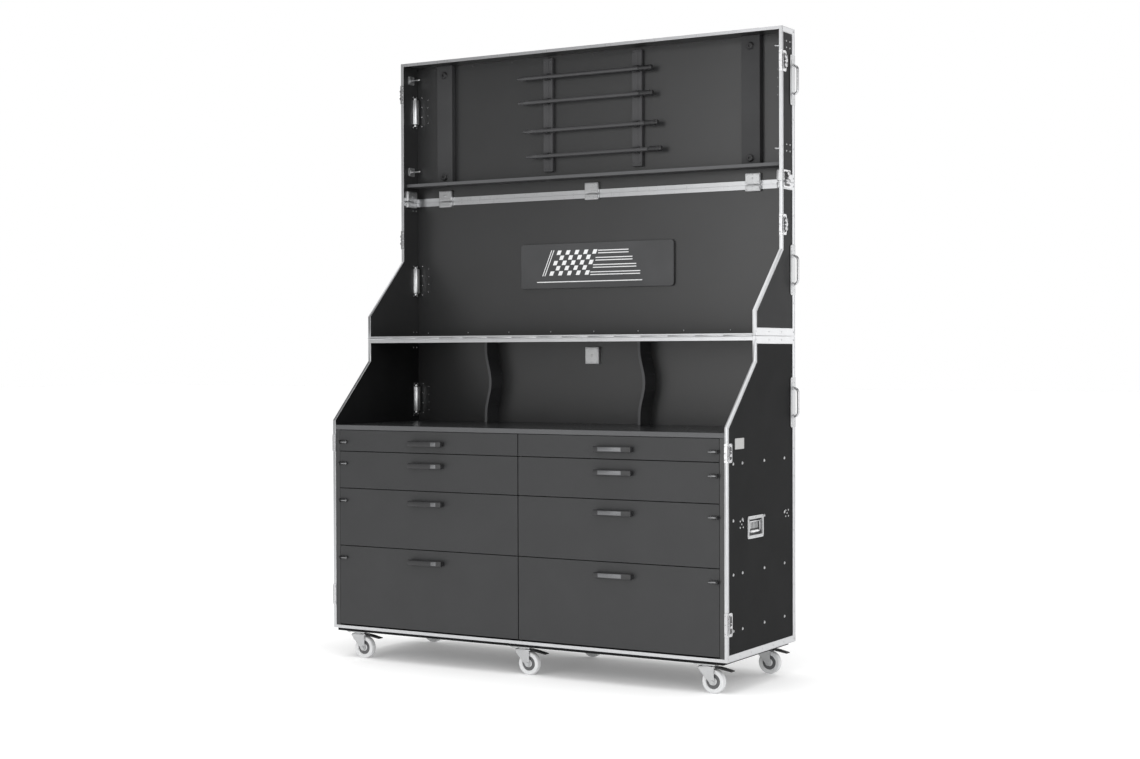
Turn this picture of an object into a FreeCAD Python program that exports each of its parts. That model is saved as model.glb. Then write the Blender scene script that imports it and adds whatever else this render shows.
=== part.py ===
import FreeCAD, Part
import math
import os

V = FreeCAD.Vector

# ---------------------------------------------------------------- driving dimensions, mm
CASE_W = 2010.0          # over the aluminium edge profiles
BASE_D = 669.0           # base, front to back at the floor
HALF_D = 400.0           # base and lid where they meet: half of the closed depth
LID_D = 131.0            # lid, front to back at the top when it stands open
BASE_H = 1329.0          # base box without the caster board; the lid is as tall
SLOPE_TOP = 105.5        # joint line to the near end of the sloping edge
SLOPE_END = 374.5        # joint line to the far end of the sloping edge
MID_H = 665.0            # lower lid section
WHEEL_R = 50.0
CASTER_HEAD = 25.0       # top of the wheel to the top of the caster plate
WHEEL_W = 30.0
TRAIL = 28.0             # swivel axis to axle
CASTER_IN = 114.0        # outer swivel axes in from the outside
CASTER_FRONT_IN = 51.0   # front swivel axes in from the front face
CASTER_REAR = 75.0       # rear swivel axes in from the rear face
CASTER_BOARD_T = 12.0
BOARD_T = 10.0
SKIN = 1.5               # profile thickness over the boards
WORKTOP_UP = 933.0       # top of the worktop above the underside of the base box
WORKTOP_T = 22.0
ROW_HEIGHTS = [98.0, 169.0, 263.0, 362.0]   # drawer fronts from the top, gaps included
FRONT_GAP = 3.0
FRONT_T = 18.0
TRAY_SHORT = 109.0       # how much shorter than the base the trays are
TRAY_T = 12.0
RUNNER_GAP = 13.0
PULL_W = 180.0
PULL_OUT = 26.0
DIVIDER_X = [-534.0, 291.0]
DIVIDER_T = 14.0
DIVIDER_D = 98.0
DIVIDER_BOW = 25.0
SHELF_UP = 70.0          # shelf underside above the joint of the two lid sections
SHELF_T = 15.0
SHELF_D = 103.0
BAR_R = 9.0
BAR_L = 718.0
BAR_GRIP_R = 12.0
BAR_GRIP_L = 100.0
BAR_Z = [112.0, 226.0, 362.0, 480.0]        # bar centres below the roof
BAR_X = [-29.0, -24.0, 2.0, 21.0]           # bar middles, left of centre is negative
RAIL_X = [-233.0, 241.0]
RAIL_W = 50.0
BATTEN_IN = 180.5        # batten middle in from the side board
BATTEN_W = 88.0
BATTEN_T = 28.0
PEG_OUT = 50.0
HANDLE_H = 217.0
TROUGH_R = 21.0          # trough behind a corner handle, and its gap to the back board
TROUGH_GAP = 0.5
BOW_H = 134.0
HINGE_OUT = 4.0          # hinge axis in front of the faces that close on each other
KNUCKLE_R = 3.5
JOINT_GAP = 0.5          # half the gap between the sections

# ---------------------------------------------------------------- levels and planes
X1 = CASE_W / 2                      # outside of the side profiles
XP = X1 - SKIN                       # outside of the side boards
XI = XP - BOARD_T                    # inside of the side boards
YI = -(SKIN + BOARD_T)               # inside of the back boards
CASTER_X = X1 - CASTER_IN
CASTER_FRONT = BASE_D - CASTER_FRONT_IN
TRAY_D = BASE_D - TRAY_SHORT
BATTEN_X = XI - BATTEN_IN
CASTER_H = 2 * WHEEL_R + CASTER_HEAD
FLOOR_Z = CASTER_H + CASTER_BOARD_T
WORKTOP_Z = FLOOR_Z + WORKTOP_UP
JOINT_Z = FLOOR_Z + BASE_H
SPLIT_Z = JOINT_Z + MID_H
ROOF_Z = JOINT_Z + BASE_H
HINGE_Y = -(HALF_D + HINGE_OUT)


# ---------------------------------------------------------------- shape helpers
def box(x0, x1, y0, y1, z0, z1):
    """Box between two planes on each axis, in either order."""
    return Part.makeBox(
        abs(x1 - x0), abs(y1 - y0), abs(z1 - z0), V(min(x0, x1), min(y0, y1), min(z0, z1))
    )


def prism_x(points, x0, x1):
    """Prism along X from (y, z) points."""
    wire = Part.makePolygon([V(x0, y, z) for y, z in points + points[:1]])
    return Part.Face(wire).extrude(V(x1 - x0, 0, 0))


def prism_y(points, y0, y1):
    """Prism along Y from (x, z) points."""
    wire = Part.makePolygon([V(x, y0, z) for x, z in points + points[:1]])
    return Part.Face(wire).extrude(V(0, y1 - y0, 0))


def rod(r, start, end):
    axis = V(*end) - V(*start)
    return Part.makeCylinder(r, axis.Length, V(*start), axis)


def flipped(shape):
    return shape.mirror(V(0, 0, 0), V(1, 0, 0))


def both(shapes):
    """Shapes on the right side with their mirror images on the left."""
    return list(shapes) + [flipped(s) for s in shapes]


def fused(shapes):
    return shapes[0].multiFuse(shapes[1:]).removeSplitter()


def inset(points, distance):
    """Polygon moved inwards by one distance, or by one for each edge; points run anticlockwise."""
    count = len(points)
    steps = distance if isinstance(distance, list) else [distance] * count
    moved = []
    for i, (y, z) in enumerate(points):
        (ya, za), (yb, zb) = points[i - 1], points[(i + 1) % count]
        ua, ub = math.hypot(y - ya, z - za), math.hypot(yb - y, zb - z)
        na, nb = ((za - z) / ua, (y - ya) / ua), ((z - zb) / ub, (yb - y) / ub)
        da, db = steps[i - 1], steps[i]
        turn = na[0] * nb[1] - na[1] * nb[0]
        moved.append((
            y + (da * nb[1] - db * na[1]) / turn, z + (na[0] * db - nb[0] * da) / turn,
        ))
    return moved


nodes = {}


def node(name, shapes):
    nodes[name] = shapes if isinstance(shapes, list) else [shapes]


# ---------------------------------------------------------------- side outlines, (y, z)
BASE_SIDE = [
    (-BASE_D, FLOOR_Z), (0, FLOOR_Z), (0, JOINT_Z - JOINT_GAP), (-HALF_D, JOINT_Z - JOINT_GAP),
    (-HALF_D, JOINT_Z - SLOPE_TOP), (-BASE_D, JOINT_Z - SLOPE_END),
]
MID_SIDE = [
    (-HALF_D, JOINT_Z + JOINT_GAP), (0, JOINT_Z + JOINT_GAP), (0, SPLIT_Z - JOINT_GAP),
    (-LID_D, SPLIT_Z - JOINT_GAP), (-LID_D, JOINT_Z + SLOPE_END), (-HALF_D, JOINT_Z + SLOPE_TOP),
]
TOP_SIDE = [
    (-LID_D, SPLIT_Z + JOINT_GAP), (0, SPLIT_Z + JOINT_GAP), (0, ROOF_Z), (-LID_D, ROOF_Z),
]
FLANGE = 33.0            # profile width on the back, and on the sides beside a joint
REAR_FLANGE = 27.0       # profile widths on the sides
FLOOR_FLANGE = 29.0
ROOF_FLANGE = 25.0
FRONT_FLANGE = 12.0
LIP = 14.0               # profile width on the front edges
FOOT_LIP = 10.0          # front strip under the lid
TOP_LIP = 20.0           # front strip on top of the base
BASE_FLANGES = [FLOOR_FLANGE, REAR_FLANGE, FLANGE, FRONT_FLANGE, FRONT_FLANGE, FRONT_FLANGE]
MID_FLANGES = [FLANGE, REAR_FLANGE, FLANGE, FRONT_FLANGE, FRONT_FLANGE, FRONT_FLANGE]
TOP_FLANGES = [FLANGE, REAR_FLANGE, ROOF_FLANGE, FRONT_FLANGE]


def side_board(outline):
    return prism_x(inset(outline, SKIN), XI, XP)


def side_frame(outline, flanges):
    """Flat profile face all round one side, with a lip over the board's front edges."""
    frame = prism_x(outline, XP, X1).cut(prism_x(inset(outline, flanges), XP - 1, X1 + 1))
    rim = prism_x(outline, X1 - LIP, X1).cut(
        prism_x(inset(outline, SKIN), X1 - LIP - 1, X1 + 1)
    )
    return fused([frame, rim])


def flat_frame(x, z0, z1, y0, y1, width):
    """Rectangular frame on a back board."""
    return box(-x, x, y0, y1, z0, z1).cut(
        box(-x + width, x - width, y0 - 1, y1 + 1, z0 + width, z1 - width)
    )


def level_frame(depth, z0, z1):
    """Rectangular frame on a level board."""
    return box(-X1 + LIP, X1 - LIP, -depth, 0, z0, z1).cut(
        box(-X1 + FLANGE, X1 - FLANGE, -depth + FLANGE, -FLANGE, z0 - 1, z1 + 1)
    )


# ---------------------------------------------------------------- base boards
POCKET_Y, POCKET_Z = (-466.0, -336.0), (635.0, 705.0)
pocket_cut = box(XI - 1, XP + 1, POCKET_Y[0], POCKET_Y[1], POCKET_Z[0], POCKET_Z[1])
right_side = side_board(BASE_SIDE).cut(pocket_cut)
node("base_sides", both([right_side]))
node("base_back", box(-XI, XI, YI, -SKIN, FLOOR_Z + SKIN, JOINT_Z - JOINT_GAP - SKIN))
floor_top = FLOOR_Z + SKIN + 12
node("base_floor", box(-XI, XI, -BASE_D + SKIN, YI, FLOOR_Z + SKIN, floor_top))
cubby_top = JOINT_Z - JOINT_GAP - SKIN - BOARD_T
node("base_top", box(-XI, XI, -HALF_D + SKIN, YI, cubby_top, cubby_top + BOARD_T))
node(
    "caster_board",
    box(-X1 + 20, X1 - 20, -BASE_D + 4, -27, CASTER_H, CASTER_H + CASTER_BOARD_T),
)
worktop = box(-XI, XI, -BASE_D + SKIN, YI, WORKTOP_Z - WORKTOP_T, WORKTOP_Z)
node("worktop", worktop)

# ---------------------------------------------------------------- drawer carcass
front_y = -BASE_D + SKIN             # plane that the drawer fronts stand in
frame_y = front_y + FRONT_T          # back of the drawer fronts
carcass_top = WORKTOP_Z - WORKTOP_T
STILE_X = X1 - 36.0                  # inner edge of the stiles beside the drawer fronts
POST_X = XI - 20.5                   # inner face of the runner posts
POST_Y = [-613.0, -320.0, -111.0]
BOLT_Y = [56.0 - BASE_D, 142.0 - BASE_D, -315.0, -111.0]
BOLT_Z = [942.0, 710.0, 490.0, 260.0]
PARTITION = 9.0                      # half the thickness of the centre partition
posts = [
    box(POST_X, XI, y - 15, y + 15, floor_top, carcass_top) for y in POST_Y
]
stile = box(STILE_X, XI, front_y, frame_y + 0.5, floor_top, carcass_top)
node(
    "drawer_frame",
    [box(-PARTITION, PARTITION, frame_y + 0.8, YI, floor_top, carcass_top)]
    + both(posts + [stile]),
)

# ---------------------------------------------------------------- bowed dividers
def bowed(x):
    z0, z1, steps = WORKTOP_Z, cubby_top, 12
    levels = [z0 + (z1 - z0) * i / steps for i in range(steps + 1)]

    def edge(shift):
        curve = Part.BSplineCurve()
        points = []
        for i, z in enumerate(levels):
            t = min(max((i - 1.2) / (steps - 2.4), 0), 1)
            bulge = DIVIDER_BOW * (1 - math.cos(2 * math.pi * t)) / 2
            points.append(V(x + shift + bulge, YI, z))
        curve.interpolate(points)
        return curve.toShape()

    left, right = edge(-DIVIDER_T / 2), edge(DIVIDER_T / 2)
    ends = [
        Part.makeLine(left.Vertexes[k].Point, right.Vertexes[k].Point) for k in (0, -1)
    ]
    wire = Part.Wire(Part.__sortEdges__([left, ends[0], right, ends[1]]))
    return Part.Face(wire).extrude(V(0, -DIVIDER_D, 0))


node("bowed_dividers", [bowed(x) for x in DIVIDER_X])

# ---------------------------------------------------------------- base profiles
base_profile = both([side_frame(BASE_SIDE, BASE_FLANGES)]) + [
    flat_frame(X1 - LIP, FLOOR_Z, JOINT_Z - JOINT_GAP, -SKIN, 0, FLANGE),
    box(-X1 + LIP, X1 - LIP, -BASE_D, -BASE_D + SKIN, FLOOR_Z, FLOOR_Z + LIP),
    box(-X1 + LIP, X1 - LIP, -BASE_D, -BASE_D + 35, FLOOR_Z, FLOOR_Z + SKIN),
    box(-X1 + LIP, X1 - LIP, -HALF_D, -HALF_D + SKIN, JOINT_Z - TOP_LIP, JOINT_Z - JOINT_GAP),
    level_frame(HALF_D, JOINT_Z - JOINT_GAP - SKIN, JOINT_Z - JOINT_GAP),
]
node("base_profiles", fused(base_profile))


# ---------------------------------------------------------------- corner handles
def corner_handle(z, trough=True):
    """Right-hand corner plate with a rigid bow, and the trough behind it on the inside."""
    plate = fused([
        box(X1, X1 + 2, -48, 2, z - HANDLE_H / 2, z + HANDLE_H / 2),
        box(X1 - 46, X1 + 2, 0, 2, z - HANDLE_H / 2, z + HANDLE_H / 2),
    ])
    feet = [
        box(X1 + 2, X1 + 20, -34, -14, zf - 8, zf + 8)
        for zf in (z - BOW_H / 2 + 8, z + BOW_H / 2 - 8)
    ]
    grip = box(X1 + 20, X1 + 31, -35, -13, z - BOW_H / 2, z + BOW_H / 2)
    grip = grip.makeFillet(4, [e for e in grip.Edges if e.Length > BOW_H - 1])
    shapes = [plate, grip] + feet
    if trough:
        trough_y = YI - TROUGH_R - TROUGH_GAP
        half = Part.makeCylinder(TROUGH_R, 118, V(XI, trough_y, z - 62), V(0, 0, 1))
        shapes.append(half.common(box(XI - 30, XI, -60, 0, z - 80, z + 80)))
    return shapes


BASE_HANDLE_Z = JOINT_Z - 287
MID_HANDLE_Z = JOINT_Z + 286
TOP_HANDLE_Z = ROOF_Z - 221
node("base_handles", both(corner_handle(BASE_HANDLE_Z)))


# ---------------------------------------------------------------- butterfly latches
def edge_latch(y_front, z, height):
    """Latch plate wrapped round the right front edge."""
    return fused([
        box(X1, X1 + 3, y_front - 2, y_front + 40, z - height / 2, z + height / 2),
        box(X1 - LIP, X1 + 3, y_front - 2, y_front, z - height / 2, z + height / 2),
    ])


WING_OUT = 15.0


def wing(y, z):
    """Butterfly wing folded down on its plate; turns about X."""
    lobes = [
        box(X1 + WING_OUT - 5, X1 + WING_OUT, y - 14, y + 14, z + s * 5, z + s * 27)
        for s in (-1, 1)
    ]
    hub = rod(9, (X1 + 3.4, y, z), (X1 + WING_OUT, y, z))
    return fused([hub] + lobes)


LATCH_LOW = JOINT_Z - 290            # base latch heights; the lid's mirror them
LATCH_HIGH = 479.0
base_latch = [
    edge_latch(-BASE_D, JOINT_Z - LATCH_HIGH, 78),
    edge_latch(-BASE_D, LATCH_LOW - 886, 97),
]
DISH_W, DISH_D = 72.0, 20.0
centre_dish = box(
    -DISH_W / 2, DISH_W / 2, YI - DISH_D, YI, JOINT_Z - 120, JOINT_Z - 43
)
node("base_latches", both(base_latch) + [centre_dish])

# ---------------------------------------------------------------- recessed side handles
def dish_parts():
    """Flange strips, walls and bottom of the right-hand handle dish."""
    (ya, yb), (za, zb) = POCKET_Y, POCKET_Z
    t, x_in = 1.5, XI - 4
    walls = [
        box(x_in, XP, ya, ya + t, za, zb),
        box(x_in, XP, yb - t, yb, za, zb),
        box(x_in, XP, ya + t, yb - t, za, za + t),
        box(x_in, XP, ya + t, yb - t, zb - t, zb),
        box(x_in, x_in + t, ya + t, yb - t, za + t, zb - t),
    ]
    flange = [
        box(XP, XP + 2, ya - 12, ya + t, za - 12, zb + 12),
        box(XP, XP + 2, yb - t, yb + 12, za - 12, zb + 12),
        box(XP, XP + 2, ya + t, yb - t, za - 12, za + t),
        box(XP, XP + 2, ya + t, yb - t, zb - t, zb + 12),
    ]
    return walls + flange


node("side_dishes", both(dish_parts()))
PIVOT_Z = POCKET_Z[1] - 12
bail_x = XI + 5.5
bail = fused([
    rod(3, (bail_x, POCKET_Y[0] + 2.2, PIVOT_Z), (bail_x, POCKET_Y[1] - 2.2, PIVOT_Z)),
    box(bail_x - 3, bail_x + 3, POCKET_Y[0] + 10, POCKET_Y[0] + 18, PIVOT_Z - 40, PIVOT_Z + 3),
    box(bail_x - 3, bail_x + 3, POCKET_Y[1] - 18, POCKET_Y[1] - 10, PIVOT_Z - 40, PIVOT_Z + 3),
    rod(5, (bail_x, POCKET_Y[0] + 10, PIVOT_Z - 42), (bail_x, POCKET_Y[1] - 10, PIVOT_Z - 42)),
])
node("bail_right", bail)
node("bail_left", flipped(bail))

# ---------------------------------------------------------------- bolts and rivet crosses
bolts = [
    rod(6, (XP, y, z), (XP + 3, y, z)) for y in BOLT_Y for z in BOLT_Z
]
for y, z in ((136.0 - BASE_D, 690.0), (-83.0, 703.0)):
    bolts += [
        rod(4, (XP, y + dy, z + dz), (XP + 2, y + dy, z + dz))
        for dy, dz in ((-14, 13), (14, 13), (0, 0), (-14, -13), (14, -13))
    ]
label_plate = box(XP, XP + 2, 72 - BASE_D, 157 - BASE_D, 1000, 1045)
node("side_fittings", both(bolts) + [label_plate])

# ---------------------------------------------------------------- drawers and runners
rails = []
tops = [carcass_top - FRONT_GAP / 2 - sum(ROW_HEIGHTS[:i]) for i in range(4)]
PULL_X = 480.0                       # pull centres either side of the middle
LOCK_X = 958.0
for row, (top, height) in enumerate(zip(tops, ROW_HEIGHTS)):
    low = top - height + FRONT_GAP
    x0, x1 = PARTITION + RUNNER_GAP, POST_X - RUNNER_GAP
    y_back = frame_y + TRAY_D
    z0, z1 = low + 8, top - 14
    front = box(2, STILE_X - 1.5, front_y - 0.5, frame_y, low, top)
    tray = [
        box(x0, x1, frame_y, y_back, z0, z0 + TRAY_T),
        box(x0, x0 + TRAY_T, frame_y, y_back, z0 + TRAY_T, z1),
        box(x1 - TRAY_T, x1, frame_y, y_back, z0 + TRAY_T, z1),
        box(x0 + TRAY_T, x1 - TRAY_T, y_back - TRAY_T, y_back, z0 + TRAY_T, z1),
    ]
    slides = [
        box(x0 - 5.5, x0, frame_y + 4, y_back - 6, z0 + 16, z0 + 42),
        box(x1, x1 + 5.5, frame_y + 4, y_back - 6, z0 + 16, z0 + 42),
    ]
    pull_z, out = top - 54, front_y - 0.5
    ends = [
        box(PULL_X + s * (PULL_W / 2 - 32), PULL_X + s * PULL_W / 2, out, out - 14,
            pull_z - 10, pull_z + 10)
        for s in (-1, 1)
    ]
    bar = box(PULL_X - PULL_W / 2, PULL_X + PULL_W / 2, out - 14, out - PULL_OUT,
              pull_z - 12, pull_z + 12)
    bar = bar.makeFillet(4, [e for e in bar.Edges if e.Length > PULL_W - 1 and
                             e.CenterOfMass.y < out - 20])
    lock = [
        rod(4, (LOCK_X - 36, out - 9, pull_z), (LOCK_X, out - 9, pull_z)),
        box(LOCK_X - 30, LOCK_X - 8, out, out - 5, pull_z - 8, pull_z + 8),
        rod(9, (LOCK_X, out - 9, pull_z), (LOCK_X + 8, out - 9, pull_z)),
    ]
    right = [front, bar] + tray + slides + ends + lock
    node(f"drawer_right_{row + 1}", right)
    node(f"drawer_left_{row + 1}", [flipped(s) for s in right])
    rails += both([
        box(PARTITION, x0 - 6, frame_y + 4, y_back - 6, z0 + 14, z0 + 44),
        box(x1 + 6, POST_X, frame_y + 4, y_back - 6, z0 + 14, z0 + 44),
    ])
node("runner_rails", rails)

# ---------------------------------------------------------------- casters
plates = []
for side, x in (("left", -CASTER_X), ("centre", 0.0), ("right", CASTER_X)):
    for place, y in (("front", -CASTER_FRONT), ("rear", -CASTER_REAR)):
        plates += [
            box(x - 50, x + 50, y - 42, y + 42, CASTER_H - 4, CASTER_H),
            rod(30, (x, y, CASTER_H - 13), (x, y, CASTER_H - 4)),
        ]
        crown = CASTER_H - 13.5
        axle = x + TRAIL
        leg = [
            (x - 37, crown - 6), (x - 26, crown - 22), (axle - 11, WHEEL_R - 6),
            (axle - 4, WHEEL_R - 12), (axle + 6, WHEEL_R - 12), (axle + 12, WHEEL_R - 4),
            (axle + 14, crown - 26), (x + 40, crown - 6),
        ]
        pedal = [
            (x + 40, crown - 6), (x + 40, crown), (x + 62, crown - 2), (x + 115, crown - 13),
            (x + 115, crown - 17), (x + 60, crown - 9),
        ]
        half_fork = WHEEL_W / 2 + 4
        fork = [box(x - 37, x + 40, y - half_fork - 4, y + half_fork + 4, crown - 6, crown)]
        fork += [
            prism_y(leg, y + s * half_fork, y + s * (half_fork + 4)) for s in (-1, 1)
        ]
        fork.append(rod(6, (axle, y - half_fork, WHEEL_R), (axle, y + half_fork, WHEEL_R)))
        fork.append(prism_y(pedal, y - 16, y + 16))
        node(f"caster_{place}_{side}_fork", fork)
        wheel = rod(
            WHEEL_R, (axle, y - WHEEL_W / 2, WHEEL_R), (axle, y + WHEEL_W / 2, WHEEL_R)
        )
        wheel = wheel.makeFillet(4, [e for e in wheel.Edges if len(e.Vertexes) == 1])
        bore = rod(6.05, (axle, y - WHEEL_W, WHEEL_R), (axle, y + WHEEL_W, WHEEL_R))
        node(f"caster_{place}_{side}_wheel", wheel.cut(bore))
node("caster_plates", plates)

# ---------------------------------------------------------------- lid hinge
KNUCKLES = 15
pitch = (2 * (X1 - LIP)) / KNUCKLES
hinges = {"base": [], "lid": []}
for i in range(KNUCKLES):
    x0 = -(X1 - LIP) + i * pitch
    whose, s = ("base", -1) if i % 2 == 0 else ("lid", 1)
    tube = rod(KNUCKLE_R, (x0 + 0.5, HINGE_Y, JOINT_Z), (x0 + pitch - 0.5, HINGE_Y, JOINT_Z))
    web = box(x0 + 0.5, x0 + pitch - 0.5, -HALF_D - 1.5, -HALF_D, JOINT_Z + s * 0.5,
              JOINT_Z + s * 6)
    hole = rod(1.55, (x0, HINGE_Y, JOINT_Z), (x0 + pitch, HINGE_Y, JOINT_Z))
    hinges[whose].append(fused([tube, web]).cut(hole))
for whose, edge_from, edge_to in (("base", -6, -TOP_LIP), ("lid", 6, FOOT_LIP)):
    hinges[whose].append(box(
        -(X1 - LIP), X1 - LIP, -HALF_D - 1.5, -HALF_D, JOINT_Z + edge_from, JOINT_Z + edge_to,
    ))
pin = rod(1.5, (-X1, HINGE_Y, JOINT_Z), (X1, HINGE_Y, JOINT_Z))
node("hinge_base", hinges["base"] + [pin])
node("hinge_lid", hinges["lid"])

# ---------------------------------------------------------------- lower lid section
mid_floor = JOINT_Z + JOINT_GAP + SKIN
node("mid_boards", both([side_board(MID_SIDE)]) + [
    box(-XI, XI, YI, -SKIN, mid_floor, SPLIT_Z - JOINT_GAP - SKIN),
    box(-XI, XI, -HALF_D + SKIN, YI, mid_floor, mid_floor + BOARD_T),
])
BAND = 19.0                          # height of the inner joint band on each section
inner_band = [
    (SPLIT_Z - BAND, SPLIT_Z - JOINT_GAP), (SPLIT_Z + JOINT_GAP, SPLIT_Z + BAND),
]


def band(z0, z1):
    return [box(-XI, XI, YI - 1.5, YI, z0, z1)] + both([
        box(XI - 1.5, XI, -LID_D + SKIN, YI - 1.5, z0, z1)
    ])


node("mid_profiles", [fused(both([side_frame(MID_SIDE, MID_FLANGES)]) + [
    flat_frame(X1 - LIP, JOINT_Z + JOINT_GAP, SPLIT_Z - JOINT_GAP, -SKIN, 0, FLANGE),
    box(-X1 + LIP, X1 - LIP, -HALF_D, -HALF_D + SKIN, JOINT_Z + JOINT_GAP, JOINT_Z + FOOT_LIP),
    level_frame(HALF_D, JOINT_Z + JOINT_GAP, JOINT_Z + JOINT_GAP + SKIN),
])] + band(*inner_band[0]))
SIGN_Z = JOINT_Z + 336
node("sign_panel", box(-388, 424, YI - 14, YI, SIGN_Z - 104, SIGN_Z + 104))

JOINT_LATCH_IN = 187.0               # outer latches in from the outside
JOINT_LATCH_X = [JOINT_LATCH_IN - X1, 0.0, X1 - JOINT_LATCH_IN]
JOINT_LATCH_Y = -82.0
DISH_Z = (SPLIT_Z - 28, SPLIT_Z + 50)


def joint_latches(z0, z1):
    """Dish backs inside and plates outside, for the part of each latch on one section."""
    lower = z0 < SPLIT_Z
    a, b = (z0, z1 - SKIN) if lower else (z0 + SKIN, z1)
    inside = [
        box(x - DISH_W / 2, x + DISH_W / 2, YI - 1.5 - DISH_D, YI - 1.5, a, b)
        for x in JOINT_LATCH_X
    ]
    outside = [box(x - 52, x + 52, 0, 2, z0 - 6 * lower, z1) for x in JOINT_LATCH_X]
    side = [
        box(XI - 1.5 - DISH_D, XI - 1.5, JOINT_LATCH_Y - 38, JOINT_LATCH_Y + 38, a, b),
        box(X1, X1 + 3, JOINT_LATCH_Y - 41, JOINT_LATCH_Y + 33, z0, z1),
    ]
    return inside + outside + both(side)


node("mid_hardware", both(corner_handle(MID_HANDLE_Z))
     + both([edge_latch(-LID_D, JOINT_Z + LATCH_HIGH, 90)])
     + joint_latches(DISH_Z[0], SPLIT_Z - JOINT_GAP))

# ---------------------------------------------------------------- upper lid section
shelf_z = SPLIT_Z + SHELF_UP
roof_under = ROOF_Z - SKIN - BOARD_T
node("top_boards", both([side_board(TOP_SIDE)]) + [
    box(-XI, XI, YI, -SKIN, SPLIT_Z + JOINT_GAP + SKIN, ROOF_Z - SKIN),
    box(-XI, XI, -LID_D + SKIN, YI, roof_under, ROOF_Z - SKIN),
])
node("top_profiles", [fused(both([side_frame(TOP_SIDE, TOP_FLANGES)]) + [
    flat_frame(X1 - LIP, SPLIT_Z + JOINT_GAP, ROOF_Z, -SKIN, 0, FLANGE),
    box(-X1 + LIP, X1 - LIP, -LID_D, -LID_D + SKIN, ROOF_Z - LIP, ROOF_Z),
    level_frame(LID_D, ROOF_Z - SKIN, ROOF_Z),
])] + band(*inner_band[1]))
node("shelf", box(-XI, XI, -SHELF_D, YI, shelf_z, shelf_z + SHELF_T))
shelf_top = shelf_z + SHELF_T
battens = both([
    box(BATTEN_X - BATTEN_W / 2, BATTEN_X + BATTEN_W / 2, YI - BATTEN_T, YI, shelf_top, roof_under)
])
knobs = both([
    rod(17, (BATTEN_X, YI - BATTEN_T, z), (BATTEN_X, YI - BATTEN_T - 12, z))
    for z in (shelf_top + 31, roof_under - 47)
])
node("battens", battens + knobs)
RAIL_T = 20.0
BAR_Y = YI - RAIL_T - BAR_R - 10
rail_parts = [
    box(x - RAIL_W / 2, x + RAIL_W / 2, YI - RAIL_T, YI, shelf_top + 27, roof_under - 12)
    for x in RAIL_X
]
for drop in BAR_Z:
    z = ROOF_Z - drop
    rail_parts += [
        box(x - 14, x + 14, BAR_Y - BAR_R, YI - RAIL_T, z + s * (BAR_R + 0.5), z + s * (BAR_R + 4))
        for x in RAIL_X for s in (-1, 1)
    ]
node("bar_rails", rail_parts)
for i, (drop, middle) in enumerate(zip(BAR_Z, BAR_X)):
    z, x0 = ROOF_Z - drop, middle - BAR_L / 2
    node(f"bar_{i + 1}", fused([
        rod(BAR_R, (x0, BAR_Y, z), (x0 + BAR_L, BAR_Y, z)),
        rod(BAR_GRIP_R, (x0 + BAR_L - BAR_GRIP_L * 0.68, BAR_Y, z), (x0 + BAR_L - 4, BAR_Y, z)),
    ]))
pegs = []
for z in (ROOF_Z - 73, ROOF_Z - 517):
    pegs += [
        box(XI - 5, XI, -64 - 25, -64 + 25, z - 21, z + 21),
        rod(8, (XI - 5, -64, z), (XI - 5 - PEG_OUT, -64, z)),
    ]
node("pegs", both(pegs))
node("top_hardware", both(corner_handle(TOP_HANDLE_Z))
     + both([edge_latch(-LID_D, ROOF_Z - 149, 90)])
     + joint_latches(SPLIT_Z + JOINT_GAP, DISH_Z[1]))

# ---------------------------------------------------------------- latch wings
wings = {
    "low": wing(-LID_D + 19, JOINT_Z + LATCH_HIGH),
    "high": wing(-LID_D + 19, ROOF_Z - 149),
    "joint": wing(JOINT_LATCH_Y - 4, DISH_Z[1] - 32),
}
for name, shape in wings.items():
    node(f"wing_right_{name}", shape)
    node(f"wing_left_{name}", flipped(shape))

# ---------------------------------------------------------------- centred on the floor, then written
everything = Part.makeCompound([s for shapes in nodes.values() for s in shapes])
limits = everything.BoundBox
shift = V(-(limits.XMin + limits.XMax) / 2, -(limits.YMin + limits.YMax) / 2, 0)
os.makedirs("parts", exist_ok=True)
for name, shapes in nodes.items():
    shape = shapes[0] if len(shapes) == 1 else Part.makeCompound(shapes)
    shape.translate(shift)
    shape.exportStep(f"parts/{name}.step")
print("nodes:", len(nodes), "shift:", shift, "bounds:", limits)
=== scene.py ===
import math

import bmesh
import bpy
from mathutils import Matrix, Vector


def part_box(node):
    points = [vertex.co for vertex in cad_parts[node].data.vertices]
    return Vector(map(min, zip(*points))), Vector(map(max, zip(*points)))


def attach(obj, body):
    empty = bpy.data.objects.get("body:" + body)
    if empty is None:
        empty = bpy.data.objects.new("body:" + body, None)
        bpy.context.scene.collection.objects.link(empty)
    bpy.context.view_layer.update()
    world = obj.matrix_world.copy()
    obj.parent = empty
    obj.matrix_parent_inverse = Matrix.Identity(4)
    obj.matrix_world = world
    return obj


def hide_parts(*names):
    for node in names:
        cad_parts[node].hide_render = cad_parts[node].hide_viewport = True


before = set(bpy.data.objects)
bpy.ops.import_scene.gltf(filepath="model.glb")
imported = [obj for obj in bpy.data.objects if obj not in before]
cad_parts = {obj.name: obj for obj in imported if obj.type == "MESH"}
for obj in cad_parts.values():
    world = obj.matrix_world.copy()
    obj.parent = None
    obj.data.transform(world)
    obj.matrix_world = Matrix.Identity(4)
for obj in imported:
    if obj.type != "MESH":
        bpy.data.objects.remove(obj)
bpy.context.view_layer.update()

# ------------------------------------------------------------------ places, from the frame
# Sizes are in millimetres. X and Z are the row frame's; Y is measured from the rear face.
MM = 0.001
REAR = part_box("base_profiles")[1].y


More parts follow.
